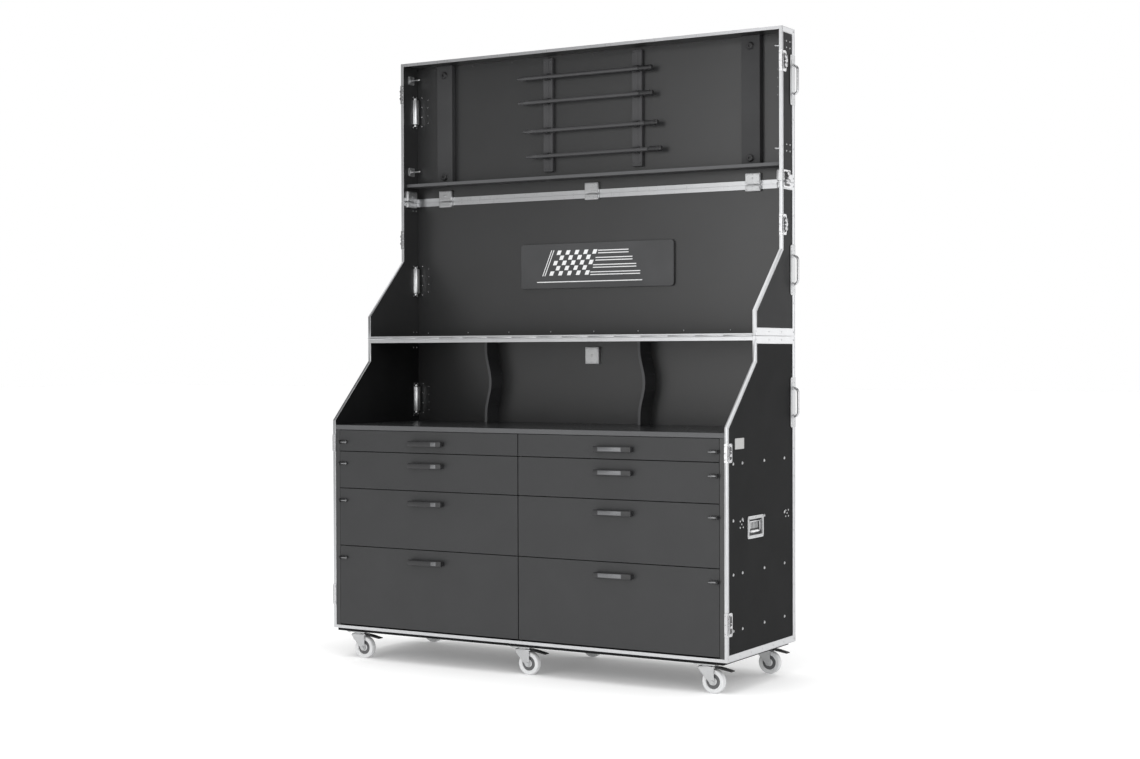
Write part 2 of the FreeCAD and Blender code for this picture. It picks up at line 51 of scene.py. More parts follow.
def corners(node):
    """Lowest and highest corner of a CAD node in this script's millimetres."""
    lo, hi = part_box(node)
    moved = [Vector((p.x, p.y - REAR, p.z)) / MM for p in (lo, hi)]
    return [Vector(round(v, 2) for v in p) for p in moved]


def centre(lo, hi):
    """Middle of a box in y and z."""
    return (lo.y + hi.y) / 2, (lo.z + hi.z) / 2


base_lo, base_hi = corners("base_profiles")
X1 = base_hi.x                       # outside of the side profiles
FRONT = base_lo.y                    # front of the base
FLOOR = base_lo.z
GAP = 0.5                            # half the gap between two sections
JOINT = base_hi.z + GAP
SPLIT = corners("mid_profiles")[1].z + GAP
LID_FRONT = corners("top_profiles")[0].y
ROOF = corners("top_profiles")[1].z
HALF = corners("mid_profiles")[0].y  # front of the lid's foot and of the cubby
XI = corners("base_back")[1].x       # inside of the side boards
YI = corners("base_back")[0].y       # inside of the back boards
XP = corners("base_sides")[1].x      # outside of the side boards
WORKTOP = corners("worktop")[1].z
SIDES = {"right": 1, "left": -1}
BOTH = tuple(SIDES.values())


# ------------------------------------------------------------------ mesh building
def round_rect(u0, u1, v0, v1, r, steps=4):
    """Outline of a rectangle with rounded corners."""
    u0, u1, v0, v1 = min(u0, u1), max(u0, u1), min(v0, v1), max(v0, v1)
    centres = [(u1 - r, v1 - r), (u0 + r, v1 - r), (u0 + r, v0 + r), (u1 - r, v0 + r)]
    points = []
    for k, (cu, cv) in enumerate(centres):
        for i in range(steps + 1):
            a = math.pi / 2 * (k + i / steps)
            points.append((cu + r * math.cos(a), cv + r * math.sin(a)))
    return points


def arc(cu, cv, r, start, end, steps=10):
    """Points on an arc, angles in degrees."""
    angles = [math.radians(start + (end - start) * i / steps) for i in range(steps + 1)]
    return [(cu + r * math.cos(a), cv + r * math.sin(a)) for a in angles]


def place(axis, u, v, w):
    """Point at w along the named axis, with u and v on the other two in x, y, z order."""
    return {"x": (w, u, v), "y": (u, w, v), "z": (u, v, w)}[axis]


def new_object(name, data):
    thing = bpy.data.objects.new(name, data)
    bpy.context.scene.collection.objects.link(thing)
    return thing


def put(node, values):
    """Set a node's inputs by name."""
    for key, value in values.items():
        node.inputs[key].default_value = value


class Piece:
    """One visible piece: solids gathered into a single mesh with one or more materials."""

    def __init__(self, name, body, *materials, slot="hardware", replaces=()):
        self.name, self.body, self.materials = name, body, materials
        self.slot, self.nodes = slot, replaces
        self.mesh = bmesh.new()

    def add(self, part, bevel=0.0, limit=28.0, steps=2, mat=0):
        bmesh.ops.recalc_face_normals(part, faces=part.faces)
        if bevel:
            sharp = [e for e in part.edges if e.calc_face_angle(0) > math.radians(limit)]
            bmesh.ops.bevel(
                part, geom=sharp, offset=bevel, segments=steps, profile=0.5,
                affect="EDGES", clamp_overlap=True,
            )
        for face in part.faces:
            face.material_index = mat
        spare = bpy.data.meshes.new("spare")
        part.to_mesh(spare)
        part.free()
        self.mesh.from_mesh(spare)
        bpy.data.meshes.remove(spare)
        return self

    def box(self, x0, x1, y0, y1, z0, z1, bevel=0.6, mat=0):
        part = bmesh.new()
        bmesh.ops.create_cube(part, size=1)
        size = Vector((abs(x1 - x0), abs(y1 - y0), abs(z1 - z0)))
        middle = Vector((x0 + x1, y0 + y1, z0 + z1)) / 2
        part.transform(Matrix.Translation(middle) @ Matrix.Diagonal((*size, 1)))
        return self.add(part, bevel, mat=mat)

    def prism(self, axis, outline, w0, w1, bevel=0.4, hole=None, mat=0):
        """Outline extruded along an axis, with an optional hole of as many points."""
        part = bmesh.new()
        rings = [outline] + ([hole] if hole else [])
        ends = []
        for w in (w0, w1):
            ends.append([[part.verts.new(place(axis, u, v, w)) for u, v in r] for r in rings])
        count = len(outline)
        for i in range(count):
            j = (i + 1) % count
            for k in range(len(rings)):
                a, b = ends[0][k], ends[1][k]
                part.faces.new((a[i], a[j], b[j], b[i]))
            if hole:
                for end in ends:
                    part.faces.new((end[0][i], end[0][j], end[1][j], end[1][i]))
        if not hole:
            for end in ends:
                part.faces.new(end[0])
        return self.add(part, bevel, mat=mat)

    def lathe(self, start, axis, profile, segments=24, mat=0):
        """Profile of (radius, height) pairs turned round an axis; a closed one makes a ring."""
        part = bmesh.new()
        closed = profile[0] == profile[-1]
        turn = Vector((0, 0, 1)).rotation_difference(Vector(axis)).to_matrix()
        rows = []
        for r, h in profile[:-1] if closed else profile:
            if r < 1e-6:
                rows.append([part.verts.new(turn @ Vector((0, 0, h)) + Vector(start))])
                continue
            ring = []
            for i in range(segments):
                a = 2 * math.pi * i / segments
                ring.append(
                    part.verts.new(
                        turn @ Vector((r * math.cos(a), r * math.sin(a), h)) + Vector(start)
                    )
                )
            rows.append(ring)
        for lower, upper in zip(rows, rows[1:] + rows[:1] if closed else rows[1:]):
            for i in range(segments):
                j = (i + 1) % segments
                corner = [lower[i % len(lower)], lower[j % len(lower)],
                          upper[j % len(upper)], upper[i % len(upper)]]
                part.faces.new(list(dict.fromkeys(corner)))
        for ring in () if closed else (rows[0], rows[-1]):
            if len(ring) > 1:
                part.faces.new(ring)
        return self.add(part, mat=mat)

    def rod(self, p0, p1, r, bevel=0.6, segments=20, mat=0):
        axis = Vector(p1) - Vector(p0)
        length = axis.length
        b = min(bevel, r * 0.4, length * 0.4)
        profile = [(r - b, 0), (r - b * 0.3, b * 0.3), (r, b), (r, length - b),
                   (r - b * 0.3, length - b * 0.3), (r - b, length)]
        return self.lathe(p0, axis, profile, segments, mat)

    def dome(self, point, normal, r=4.0, h=1.8, segments=10, mat=0):
        """Rivet or screw head."""
        profile = [(r, 0), (r * 0.93, h * 0.45), (r * 0.62, h * 0.85), (0, h)]
        return self.lathe(point, normal, profile, segments, mat)

    def domes(self, start, end, pitch, normal, r=4.0, h=1.5, mat=0):
        """Row of heads between two points, both ends included."""
        span = Vector(end) - Vector(start)
        count = max(1, round(span.length / pitch))
        for i in range(count + 1):
            self.dome(Vector(start) + span * (i / count), normal, r, h, 8, mat)
        return self

    def tube(self, path, r, segments=14, mat=0):
        """Round rod along a path of points."""
        path = [Vector(p) for p in path]
        part = bmesh.new()
        rings = []
        side = None
        for i, p in enumerate(path):
            ahead = path[min(i + 1, len(path) - 1)] - path[max(i - 1, 0)]
            ahead.normalize()
            if side is None:
                side = ahead.orthogonal().normalized()
            side = (side - ahead * side.dot(ahead)).normalized()
            other = ahead.cross(side)
            ring = []
            for k in range(segments):
                a = 2 * math.pi * k / segments
                ring.append(part.verts.new(p + side * r * math.cos(a) + other * r * math.sin(a)))
            rings.append(ring)
        for lower, upper in zip(rings, rings[1:]):
            for k in range(segments):
                j = (k + 1) % segments
                part.faces.new((lower[k], lower[j], upper[j], upper[k]))
        part.faces.new(rings[0])
        part.faces.new(rings[-1])
        return self.add(part, mat=mat)

    def copy_of(self, node, bevel=0.6, front_mat=None, joined=4e-5):
        """Rounded copy of a CAD node's mesh; faces that look forward can have a material."""
        part = bmesh.new()
        part.from_mesh(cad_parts[node].data)
        part.transform(Matrix.Diagonal((1 / MM, 1 / MM, 1 / MM, 1))
                       @ Matrix.Translation((0, -REAR, 0)))
        bmesh.ops.remove_doubles(part, verts=part.verts, dist=joined / MM)
        bmesh.ops.dissolve_limit(
            part, angle_limit=math.radians(0.6), verts=part.verts, edges=part.edges
        )
        self.add(part, bevel)
        if front_mat is not None:
            self.mesh.faces.ensure_lookup_table()
            for face in self.mesh.faces:
                if face.normal.y < -0.6:
                    face.material_index = front_mat
        self.nodes = tuple(self.nodes) + (node,)
        return self

    def paint(self, mat, test):
        """Another material for the faces whose middle and normal pass a test."""
        for face in self.mesh.faces:
            if test(face.calc_center_median(), face.normal):
                face.material_index = mat
        return self

    def done(self, smooth=40.0):
        broad = [e for e in self.mesh.edges if len(e.link_faces) == 2
                 and max(f.calc_area() for f in e.link_faces) > 500
                 and e.calc_face_angle(0) > math.radians(14)]
        self.mesh.transform(Matrix.Translation((0, REAR, 0)) @ Matrix.Diagonal((MM, MM, MM, 1)))
        limit = math.radians(smooth)
        for edge in self.mesh.edges:
            edge.smooth = len(edge.link_faces) == 2 and edge.calc_face_angle(0) < limit
        for edge in broad:
            edge.smooth = False
        for face in self.mesh.faces:
            face.smooth = True
        data = bpy.data.meshes.new(self.name)
        self.mesh.to_mesh(data)
        self.mesh.free()
        for material in self.materials:
            data.materials.append(material)
        thing = new_object(self.name, data)
        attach(thing, self.body)
        if self.nodes:
            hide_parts(*self.nodes)
        return thing


# ------------------------------------------------------------------ materials
def surface(name, color, rough, metallic=0.0, grain=900.0, bump=0.03, mottle=0.12,
            rough_range=0.08, stretch=(1, 1, 1), wear=0.0, coat=0.0, specular=0.5):
    """Surface with a fine bump, fine grain in roughness, soft blotches in colour, and faint wear.
    """
    material = bpy.data.materials.new(name)
    material.use_nodes = True
    tree = material.node_tree
    shader = tree.nodes["Principled BSDF"]
    put(shader, {"Metallic": metallic, "Coat Weight": coat, "Coat Roughness": 0.12,
                 "Specular IOR Level": specular})
    place_node = tree.nodes.new("ShaderNodeTexCoord")
    mapping = tree.nodes.new("ShaderNodeMapping")
    put(mapping, {"Scale": stretch})
    tree.links.new(place_node.outputs["Object"], mapping.inputs["Vector"])

    def noise(scale, detail, source=None):
        node = tree.nodes.new("ShaderNodeTexNoise")
        put(node, {"Scale": scale, "Detail": detail})
        origin = mapping.outputs["Vector"] if source is None else source
        tree.links.new(origin, node.inputs["Vector"])
        return node.outputs["Fac"]

    def spread(source, low, high, start=0.3, stop=0.7):
        node = tree.nodes.new("ShaderNodeMapRange")
        put(node, {"From Min": start, "From Max": stop, "To Min": low, "To Max": high})
        tree.links.new(source, node.inputs["Value"])
        return node.outputs["Result"]

    blotches = noise(6.0, 5.0, place_node.outputs["Object"])
    fine = noise(grain, 3.0)
    dark = [c * (1 - mottle) for c in color]
    light = [min(1.0, c * (1 + mottle)) for c in color]
    mix = tree.nodes.new("ShaderNodeMix")
    mix.data_type = "RGBA"
    put(mix, {"A": (*dark, 1), "B": (*light, 1)})
    tree.links.new(spread(blotches, 0.0, 1.0), mix.inputs["Factor"])
    tint = mix.outputs["Result"]
    if wear:
        scuffs = spread(noise(60.0, 8.0), 0.0, wear, 0.58, 0.74)
        worn = tree.nodes.new("ShaderNodeMix")
        worn.data_type = "RGBA"
        put(worn, {"B": (*[min(1.0, c * 1.5 + 0.01) for c in color], 1)})
        tree.links.new(scuffs, worn.inputs["Factor"])
        tree.links.new(tint, worn.inputs["A"])
        tint = worn.outputs["Result"]
    tree.links.new(tint, shader.inputs["Base Color"])
    tree.links.new(
        spread(fine, max(0.02, rough - rough_range), min(1.0, rough + rough_range)),
        shader.inputs["Roughness"],
    )
    relief = tree.nodes.new("ShaderNodeBump")
    put(relief, {"Strength": 1.0, "Distance": bump * MM})
    tree.links.new(fine, relief.inputs["Height"])
    tree.links.new(relief.outputs["Normal"], shader.inputs["Normal"])
    return material


FILM = surface("film_faced_ply", (0.0110, 0.0113, 0.0118), 0.34, grain=1400, bump=0.05,
               mottle=0.10, rough_range=0.06, wear=0.10, specular=0.8)
# painted shade: the outside of the base's side boards and the caster board, a darker copy of the
# film-faced ply
FILM_OUT_PAINTED_SHADE = surface("film_faced_ply_outside_painted_shade", (0.0085, 0.0087, 0.0091), 0.58, grain=1100,
                   bump=0.08, mottle=0.14, wear=0.14, specular=0.07)
# painted light: the outside of the lid's boards, a lighter copy of the same film-faced ply
FILM_LID_PAINTED_LIGHT = surface("film_faced_ply_lid_painted_light", (0.0160, 0.0163, 0.0170), 0.55, grain=1100,
                   bump=0.08, mottle=0.14, wear=0.14, specular=0.16)
FRONTS = surface("graphite_laminate", (0.022, 0.0225, 0.0235), 0.48, grain=1600, bump=0.03,
                 mottle=0.07, rough_range=0.05, wear=0.06)
EDGE = surface("laminate_edge", (0.070, 0.071, 0.074), 0.42, grain=1400, mottle=0.05)
TRAY = surface("tray_ply", (0.055, 0.054, 0.052), 0.6, grain=700, bump=0.05,
               stretch=(1, 0.15, 1))
TOP = surface("worktop_laminate", (0.020, 0.0204, 0.0213), 0.26, grain=1200, bump=0.02,
              mottle=0.08, coat=0.15)
ALU = surface("anodised_profile", (0.57, 0.575, 0.585), 0.32, 1.0, grain=500, bump=0.015,
              mottle=0.03, stretch=(1, 1, 0.04), rough_range=0.05)
ZINC = surface("zinc_plate", (0.50, 0.505, 0.51), 0.34, 1.0, grain=350, bump=0.05, mottle=0.08)
DARK_ZINC = surface("zinc_in_shade", (0.10, 0.10, 0.102), 0.45, 0.8, grain=400, bump=0.05)
RING = surface("hub_ring", (0.09, 0.091, 0.094), 0.45, grain=900, bump=0.04)
LOCK = surface("lock_steel", (0.26, 0.262, 0.268), 0.35, 1.0, grain=600, bump=0.02)
BRIGHT = surface("polished_steel", (0.54, 0.54, 0.55), 0.20, 1.0, grain=500, bump=0.02,
                 mottle=0.03)
ROLLED = surface("rolled_steel", (0.52, 0.525, 0.53), 0.38, 1.0, grain=600, bump=0.04,
                 stretch=(1, 0.05, 1))
COATED = surface("powder_coat", (0.040, 0.040, 0.042), 0.46, grain=1500, bump=0.12, mottle=0.06)
PULL = surface("pull_dark", (0.018, 0.018, 0.019), 0.36, grain=900, bump=0.03)
# painted highlight for the drawer pulls: a pale patch that stands in for the light they reflect
PULL_PAINTED_HIGHLIGHT = surface("pull_painted_highlight", (0.15, 0.152, 0.157), 0.32, 0.6, grain=700, bump=0.01)
BLACK = surface("black_plastic", (0.014, 0.014, 0.015), 0.42, grain=1300, bump=0.06)
BOARD = surface("charcoal_laminate", (0.026, 0.0264, 0.0275), 0.7, grain=1300, bump=0.03)
DIVIDER = surface("flexed_sheet", (0.020, 0.0205, 0.022), 0.40, grain=1200, bump=0.02)
SHEET = surface("sign_sheet", (0.040, 0.0408, 0.0425), 0.42, grain=1500, bump=0.015)
LINES = surface("sign_lines", (0.72, 0.725, 0.73), 0.45, grain=1500, bump=0.01, mottle=0.03)
TYRE = surface("grey_rubber", (0.60, 0.605, 0.61), 0.55, grain=900, bump=0.1, mottle=0.06)
HUB = surface("grey_nylon", (0.70, 0.705, 0.71), 0.42, grain=700, bump=0.04, mottle=0.04)
PALE = surface("label_blank", (0.36, 0.36, 0.355), 0.35, grain=900, mottle=0.04)

# ------------------------------------------------------------------ boards
for node, bevel, material, slot in (
    ("base_back", 0.8, FILM, "black_ply"),
    ("base_floor", 0.8, FILM, "black_ply"),
    ("base_top", 0.8, FILM, "black_ply"),
    # the caster board and the base's outer side boards take the darker copy of the film-faced ply,
    # which is painted shade
    ("caster_board", 2.0, FILM_OUT_PAINTED_SHADE, "black_ply"),
    ("drawer_frame", 0.8, FILM, "black_ply"),
    ("base_sides", 0.8, FILM_OUT_PAINTED_SHADE, "black_ply"),
    ("runner_rails", 1.0, ROLLED, "runner"),
):
    Piece(node + "_panels", "base", material, slot=slot).copy_of(node, bevel).done()
for node, body, bevel, material, slot in (
    ("worktop", "base", 2.5, TOP, "worktop"),
    ("bowed_dividers", "base", 1.2, DIVIDER, "divider"),
    ("shelf", "lid_upper", 1.0, BOARD, "shelf_board"),
):
    Piece(node + "_laminate", body, material, EDGE, slot=slot).copy_of(node, bevel, 1).done()

# ------------------------------------------------------------------ edge profiles
RIB_H, RIB_W = 0.9, 2.4              # raised edges of the extruded profile
RIVET_PITCH = 118.0
FLANGE, REAR_FLANGE, FLOOR_FLANGE, ROOF_FLANGE, FRONT_FLANGE = 33.0, 27.0, 29.0, 25.0, 12.0
FLANGES = {
    "base": [FLOOR_FLANGE, REAR_FLANGE, FLANGE, FRONT_FLANGE, FRONT_FLANGE, FRONT_FLANGE],
    "mid": [FLANGE, REAR_FLANGE, FLANGE, FRONT_FLANGE, FRONT_FLANGE, FRONT_FLANGE],
    "top": [FLANGE, REAR_FLANGE, ROOF_FLANGE, FRONT_FLANGE],
}
LIP = 14.0
TOP_LIP, FOOT_LIP = 20.0, 10.0       # front strips on the base's top and under the lid
SLOPE_TOP, SLOPE_END = 105.5, 374.5  # where the sloping edge starts, off the joint line
SKIN = 1.5                           # profile thickness over the boards


def side_outline(section):
    """Outline of one section's side as (y, z) points."""
    if section == "base":
        return [(FRONT, FLOOR), (0, FLOOR), (0, JOINT - GAP), (HALF, JOINT - GAP),
                (HALF, JOINT - SLOPE_TOP), (FRONT, JOINT - SLOPE_END)]
    if section == "mid":
        return [(HALF, JOINT + GAP), (0, JOINT + GAP), (0, SPLIT - GAP),
                (LID_FRONT, SPLIT - GAP), (LID_FRONT, JOINT + SLOPE_END),
                (HALF, JOINT + SLOPE_TOP)]
    return [(LID_FRONT, SPLIT + GAP), (0, SPLIT + GAP), (0, ROOF), (LID_FRONT, ROOF)]


def inset(points, distance):
    """Outline moved inwards by one distance, or by one for each edge."""
    steps = distance if isinstance(distance, list) else [distance] * len(points)
    moved = []
    for i, point in enumerate(points):
        here = Vector(point)
        before = (here - Vector(points[i - 1])).normalized()
        after = (Vector(points[(i + 1) % len(points)]) - here).normalized()
        na, nb = Vector((-before.y, before.x)), Vector((-after.y, after.x))
        da, db = steps[i - 1], steps[i]
        turn = na.x * nb.y - na.y * nb.x
        shift = Vector(((da * nb.y - db * na.y) / turn, (na.x * db - nb.x * da) / turn))
        moved.append(tuple(here + shift))
    return moved


def outside(middle, normal):
    """Outer faces of the side boards."""
    return abs(normal.x) > 0.9 and abs(middle.x) > XP - 1


BOARD_T = XP - XI
foot_lo, foot_hi = corners("mid_boards")
roof_lo, roof_hi = corners("top_boards")
for section, body, lo, hi, front, slab in (
    ("mid", "lid_lower", foot_lo, foot_hi, HALF, (foot_lo.z, foot_lo.z + BOARD_T)),
    ("top", "lid_upper", roof_lo, roof_hi, LID_FRONT, (roof_hi.z - BOARD_T, roof_hi.z)),
):
    boards = Piece(f"{section}_boards_panels", body, FILM, FILM_LID_PAINTED_LIGHT, slot="black_ply",
                   replaces=(f"{section}_boards",))
    for s in BOTH:
        boards.prism("x", inset(side_outline(section), SKIN), s * XI, s * XP, 0.8)
    boards.box(-XI, XI, YI, -SKIN, lo.z, hi.z, 0.8)
    boards.box(-XI, XI, front + SKIN, YI, *slab, 0.8)
    # the outer faces get the lighter copy of the film-faced ply, which is painted light
    boards.paint(1, outside)
    boards.done()

for section, body, node in (
    ("base", "base", "base_profiles"),
    ("mid", "lid_lower", "mid_profiles"),
    ("top", "lid_upper", "top_profiles"),
):
    Piece(node + "_extrusion", body, ALU, slot="profile").copy_of(node, 0.35).done()
    ribs = Piece(node + "_ribs", body, ALU, slot="profile")
    rivets = Piece(node + "_rivets", body, ZINC)
    outline, flanges = side_outline(section), FLANGES[section]
    middle = inset(outline, [f * 0.5 for f in flanges])
    for s in BOTH:
        for inner in (0.0, 1.0):
            near = inset(outline, [0.4 + inner * (f - RIB_W - 0.8) for f in flanges])
            far = inset(outline, [0.4 + inner * (f - RIB_W - 0.8) + RIB_W for f in flanges])
            ribs.prism("x", near, s * X1, s * (X1 + RIB_H), 0.25, hole=far)
        for i, start in enumerate(middle):
            if flanges[i] > FRONT_FLANGE:
                end = middle[(i + 1) % len(middle)]
                rivets.domes((s * X1, *start), (s * X1, *end), RIVET_PITCH, (s, 0, 0), 3.2)
    low, high = outline[0][1], max(z for y, z in outline)
    for z in (low + FLANGE / 2, high - FLANGE / 2):
        rivets.domes((-X1 + 60, 0, z), (X1 - 60, 0, z), RIVET_PITCH, (0, 1, 0), 3.6, 1.4)
    for s in BOTH:
        x = s * (X1 - FLANGE / 2)
        rivets.domes((x, 0, low + 60), (x, 0, high - 60), RIVET_PITCH, (0, 1, 0), 3.6, 1.4)
    ribs.done()
    rivets.done()

# screws and rivets on the inside of the boards
RIVET_Y = (-52, -26)                 # a pair beside each corner


def wall_rivets(piece, heights):
    for s in BOTH:
        for z in heights:
            start, end = [(s * XI, y, z) for y in RIVET_Y]
            piece.domes(start, end, RIVET_Y[1] - RIVET_Y[0], (-s, 0, 0), 3.2, 1.5)


inside = Piece("top_board_rivets", "lid_upper", COATED)
inside.domes((-XI + 105, YI, ROOF - 20), (XI - 105, YI, ROOF - 20), 236, (0, -1, 0), 4.5, 2)
inside.done()
inside = Piece("mid_board_rivets", "lid_lower", ZINC)
inside.domes((-XI + 60, YI, JOINT + 30), (XI - 60, YI, JOINT + 30), 236, (0, -1, 0), 3.0, 1.5)
wall_rivets(inside, (JOINT + 34, SPLIT - 40))
inside.done()
inside = Piece("base_board_rivets", "base", ZINC)
wall_rivets(inside, (WORKTOP + 26, JOINT - 40))
inside.done()


# ------------------------------------------------------------------ corner handles
PLATE_H, BOW_H, BOW_OUT, BOW_R, BOW_Y = 217.0, 134.0, 31.0, 5.5, -24.0
TROUGH_R, TROUGH_L, TROUGH_Y = 21.0, 118.0, -33.0


def corner_handle(plates, bows, rivets, troughs, s, z):
    """Plates round a rear corner, a bow in front of them and its trough inside."""
    half = PLATE_H / 2
    plates.prism("x", round_rect(-48, 2, z - half, z + half, 9), s * X1, s * (X1 + 2), 0.5)
    plates.prism("y", round_rect(s * (X1 - 46), s * (X1 + 2), z - half, z + half, 1.9), 0, 1.2,
                 0.4)
    plates.prism("x", round_rect(-38, -10, z - 88, z + 88, 8), s * (X1 + 2), s * (X1 + 3.2), 0.5)
    far, reach, bend = X1 + BOW_OUT - BOW_R, BOW_H / 2 - BOW_R, 19.0
    path = [(X1 + 1, z - reach)]
    path += arc(far - bend, z - reach + bend, bend, -90, 0, 7)
    path += arc(far - bend, z + reach - bend, bend, 0, 90, 7)
    path += [(X1 + 1, z + reach)]
    bows.tube([(s * u, BOW_Y, v) for u, v in path], BOW_R)
    for end in (-reach, reach):
        bows.lathe((s * (X1 + 2), BOW_Y, z + end), (s, 0, 0),
                   [(9.5, 0), (9.5, 2), (8.2, 4.5), (6, 5.2)], 20)
    for dz in (-97, -84, 84, 97):
        rivets.dome((s * (X1 + 2), -36 if abs(dz) > 90 else -12, z + dz), (s, 0, 0), 3.6)
    for dz in (-92, -35, 35, 92):
        rivets.dome((s * (X1 - 24), 1.2, z + dz), (0, 1, 0), 3.6, 0.8)
    low, high = z - TROUGH_L / 2 - 3, z + TROUGH_L / 2 - 3
    shell = arc(s * XI, TROUGH_Y, TROUGH_R, 90, 90 + s * 180, 16)
    troughs.prism("z", shell, low, high, 1.6)
    for a, b in ((low - 11, low), (high, high + 11)):
        troughs.prism("z", arc(s * XI, TROUGH_Y, 11, 90, 90 + s * 180, 10), a, b, 2.0)
    troughs.prism("x", round_rect(TROUGH_Y - 23, TROUGH_Y + 20, low - 22, high + 22, 7),
                  s * XI, s * (XI - 1.4), 0.4, mat=1)
    for dy, dz in ((-15, -14), (13, -14), (-15, 14), (13, 14)):
        at = low + dz if dz < 0 else high + dz
        rivets.dome((s * (XI - 1.4), TROUGH_Y + dy, at), (-s, 0, 0), 3.4, 1.6)
    for dz in (-70, -24, 24, 70):
        rivets.dome((s * (XI - 26), YI, z + dz), (0, -1, 0), 3.2, 1.6)
        rivets.dome((s * (XI - 62), YI, z + dz * 0.8), (0, -1, 0), 2.2, 1.2)


HANDLES = {"base": JOINT - 287.0, "lid_lower": JOINT + 286.0, "lid_upper": ROOF - 221.0}
HARDWARE = {"base": "base_handles", "lid_lower": "mid_hardware", "lid_upper": "top_hardware"}
for body, z in HANDLES.items():
    plates = Piece(f"{body}_handle_plates", body, ZINC, replaces=(HARDWARE[body],))
    bows = Piece(f"{body}_handle_bows", body, BRIGHT)
    rivets = Piece(f"{body}_handle_rivets", body, BRIGHT)
    troughs = Piece(f"{body}_handle_troughs", body, ZINC, BLACK)
    for s in BOTH:
        corner_handle(plates, bows, rivets, troughs, s, z)
    for piece in (plates, bows, rivets, troughs):
        piece.done()


# ------------------------------------------------------------------ butterfly latches
def edge_latch(piece, rivets, s, y, z, height):
    """Latch plate wrapped round a front edge, with a pressed rim and its rivets."""
    half = height / 2
    piece.prism("x", round_rect(y - 2, y + 40, z - half, z + half, 7), s * X1, s * (X1 + 3), 0.7)
    piece.prism("y", round_rect(s * (X1 - LIP), s * (X1 + 3), z - half, z + half, 2.8),
                y - 2, y, 0.5)
    well = round_rect(y + 8, y + 30, z - half + 12, z + half - 12, 10.5, 6)
    piece.prism("x", round_rect(y + 5, y + 33, z - half + 9, z + half - 9, 13, 6),
                s * (X1 + 3), s * (X1 + 5.4), 0.7, hole=well)
    piece.prism("x", well, s * (X1 + 3), s * (X1 + 3.3), 0, mat=1)
    for dy, dz in ((3, half - 5), (35, half - 5), (3, 5 - half), (35, 5 - half)):
        rivets.dome((s * (X1 + 3), y + dy, z + dz), (s, 0, 0), 3.0, 1.5)
    for dz in (12 - half, 0, half - 12):
        rivets.dome((s * (X1 - 10), y - 2, z + dz), (0, -1, 0), 3.0, 1.4)


def keeper(piece, s, y, z):
    """Strike with a bent lip that a wing's hook pulls on."""
    piece.box(s * (X1 + 3), s * (X1 + 8), y + 12, y + 26, z - 14, z - 2, 1.2)
    piece.box(s * (X1 + 3), s * (X1 + 9.5), y + 12, y + 26, z + 6, z + 9, 0.8)


DISH_W, DISH_D = 72.0, 20.0
JOINT_LATCH_X = (-818.0, 0.0, 818.0)


def dish(piece, rivets, axis, u0, u1, v0, v1, w0, w1):
    """Back of a latch dish that stands proud of a board, with an embossed ring and rivets."""
    out = 1 if w1 > w0 else -1
    normal = Vector(place(axis, 0, 0, out))
    piece.prism(axis, round_rect(u0, u1, v0, v1, 3), w0, w1 - out * 3, 0.8)
    piece.prism(axis, round_rect(u0 + 2.5, u1 - 2.5, v0 + 2.5, v1 - 2.5, 4), w1 - out * 3, w1, 1.4)
    if v1 - v0 > 40:
        cu, cv = (u0 + u1) / 2, (v0 + v1) / 2
        rivets.dome(place(axis, cu, cv, w1), normal, 4.5, 2.0, 14)
    for u in (u0 + 9, (u0 + u1) / 2, u1 - 9):
        for v in (v0 + 8, v1 - 8):
            rivets.dome(place(axis, u, v, w1), normal, 2.8, 1.2)


def joint_latch(piece, rivets, dishes, z0, z1, skin):
    """Parts of the latches over the joint of the two lid sections, on one side of it."""
    a, b = (z0, z1 - skin) if z0 < SPLIT else (z0 + skin, z1)
    down = 6 if z0 < SPLIT else 0
    for x in JOINT_LATCH_X:
        dish(dishes, rivets, "y", x - DISH_W / 2, x + DISH_W / 2, a, b,
             YI - 1.5, YI - 1.5 - DISH_D)
        piece.prism("y", round_rect(x - 52, x + 52, z0 - down, z1, 6), 0, 1.4, 0.4)
        for u in (x - 44, x + 44):
            rivets.dome((u, 1.2, (z0 + z1 - down) / 2), (0, 1, 0), 3.0, 0.8)
    for s in BOTH:
        dish(dishes, rivets, "x", -120, -44, a, b, s * (XI - 1.5), s * (XI - 1.5 - DISH_D))
        piece.prism("x", round_rect(-123, -49, z0, z1, 7), s * X1, s * (X1 + 3), 0.7)
        inner = round_rect(-112, -60, min(z0 + 8, z1 - 4), max(z1 - 8, z0 + 4), 4)
        piece.prism("x", inner, s * (X1 + 3), s * (X1 + 3.2), 0, mat=1)
        for y in (-116, -56):
            rivets.dome((s * (X1 + 3), y, (z0 + z1) / 2), (s, 0, 0), 3.2, 1.5)


LATCHES = {
    "base": ("base_latches", [(FRONT, JOINT - 479.0, 78), (FRONT, JOINT - 1176.0, 97)]),
    "lid_lower": ("mid_hardware", [(LID_FRONT, JOINT + 479.0, 90)]),
    "lid_upper": ("top_hardware", [(LID_FRONT, ROOF - 149.0, 90)]),
}
DISH_LOW, DISH_HIGH = SPLIT - 28.0, SPLIT + 50.0
for body, (node, places) in LATCHES.items():
    piece = Piece(f"{body}_latch_plates", body, BRIGHT, DARK_ZINC, replaces=(node,))
    rivets = Piece(f"{body}_latch_rivets", body, ZINC)
    dishes = Piece(f"{body}_latch_dishes", body, ZINC)
    for s in BOTH:
        for y, z, height in places:
            edge_latch(piece, rivets, s, y, z, height)
            if body == "base":
                keeper(piece, s, y, z)
    if body == "base":
        dish(dishes, rivets, "y", -DISH_W / 2, DISH_W / 2, JOINT - 120, JOINT - 43,
             YI, YI - DISH_D)
    elif body == "lid_lower":
        joint_latch(piece, rivets, dishes, DISH_LOW, SPLIT - GAP, SKIN)
    else:
        joint_latch(piece, rivets, dishes, SPLIT + GAP, DISH_HIGH, SKIN)
    for part in (piece, rivets, dishes):
        part.done()

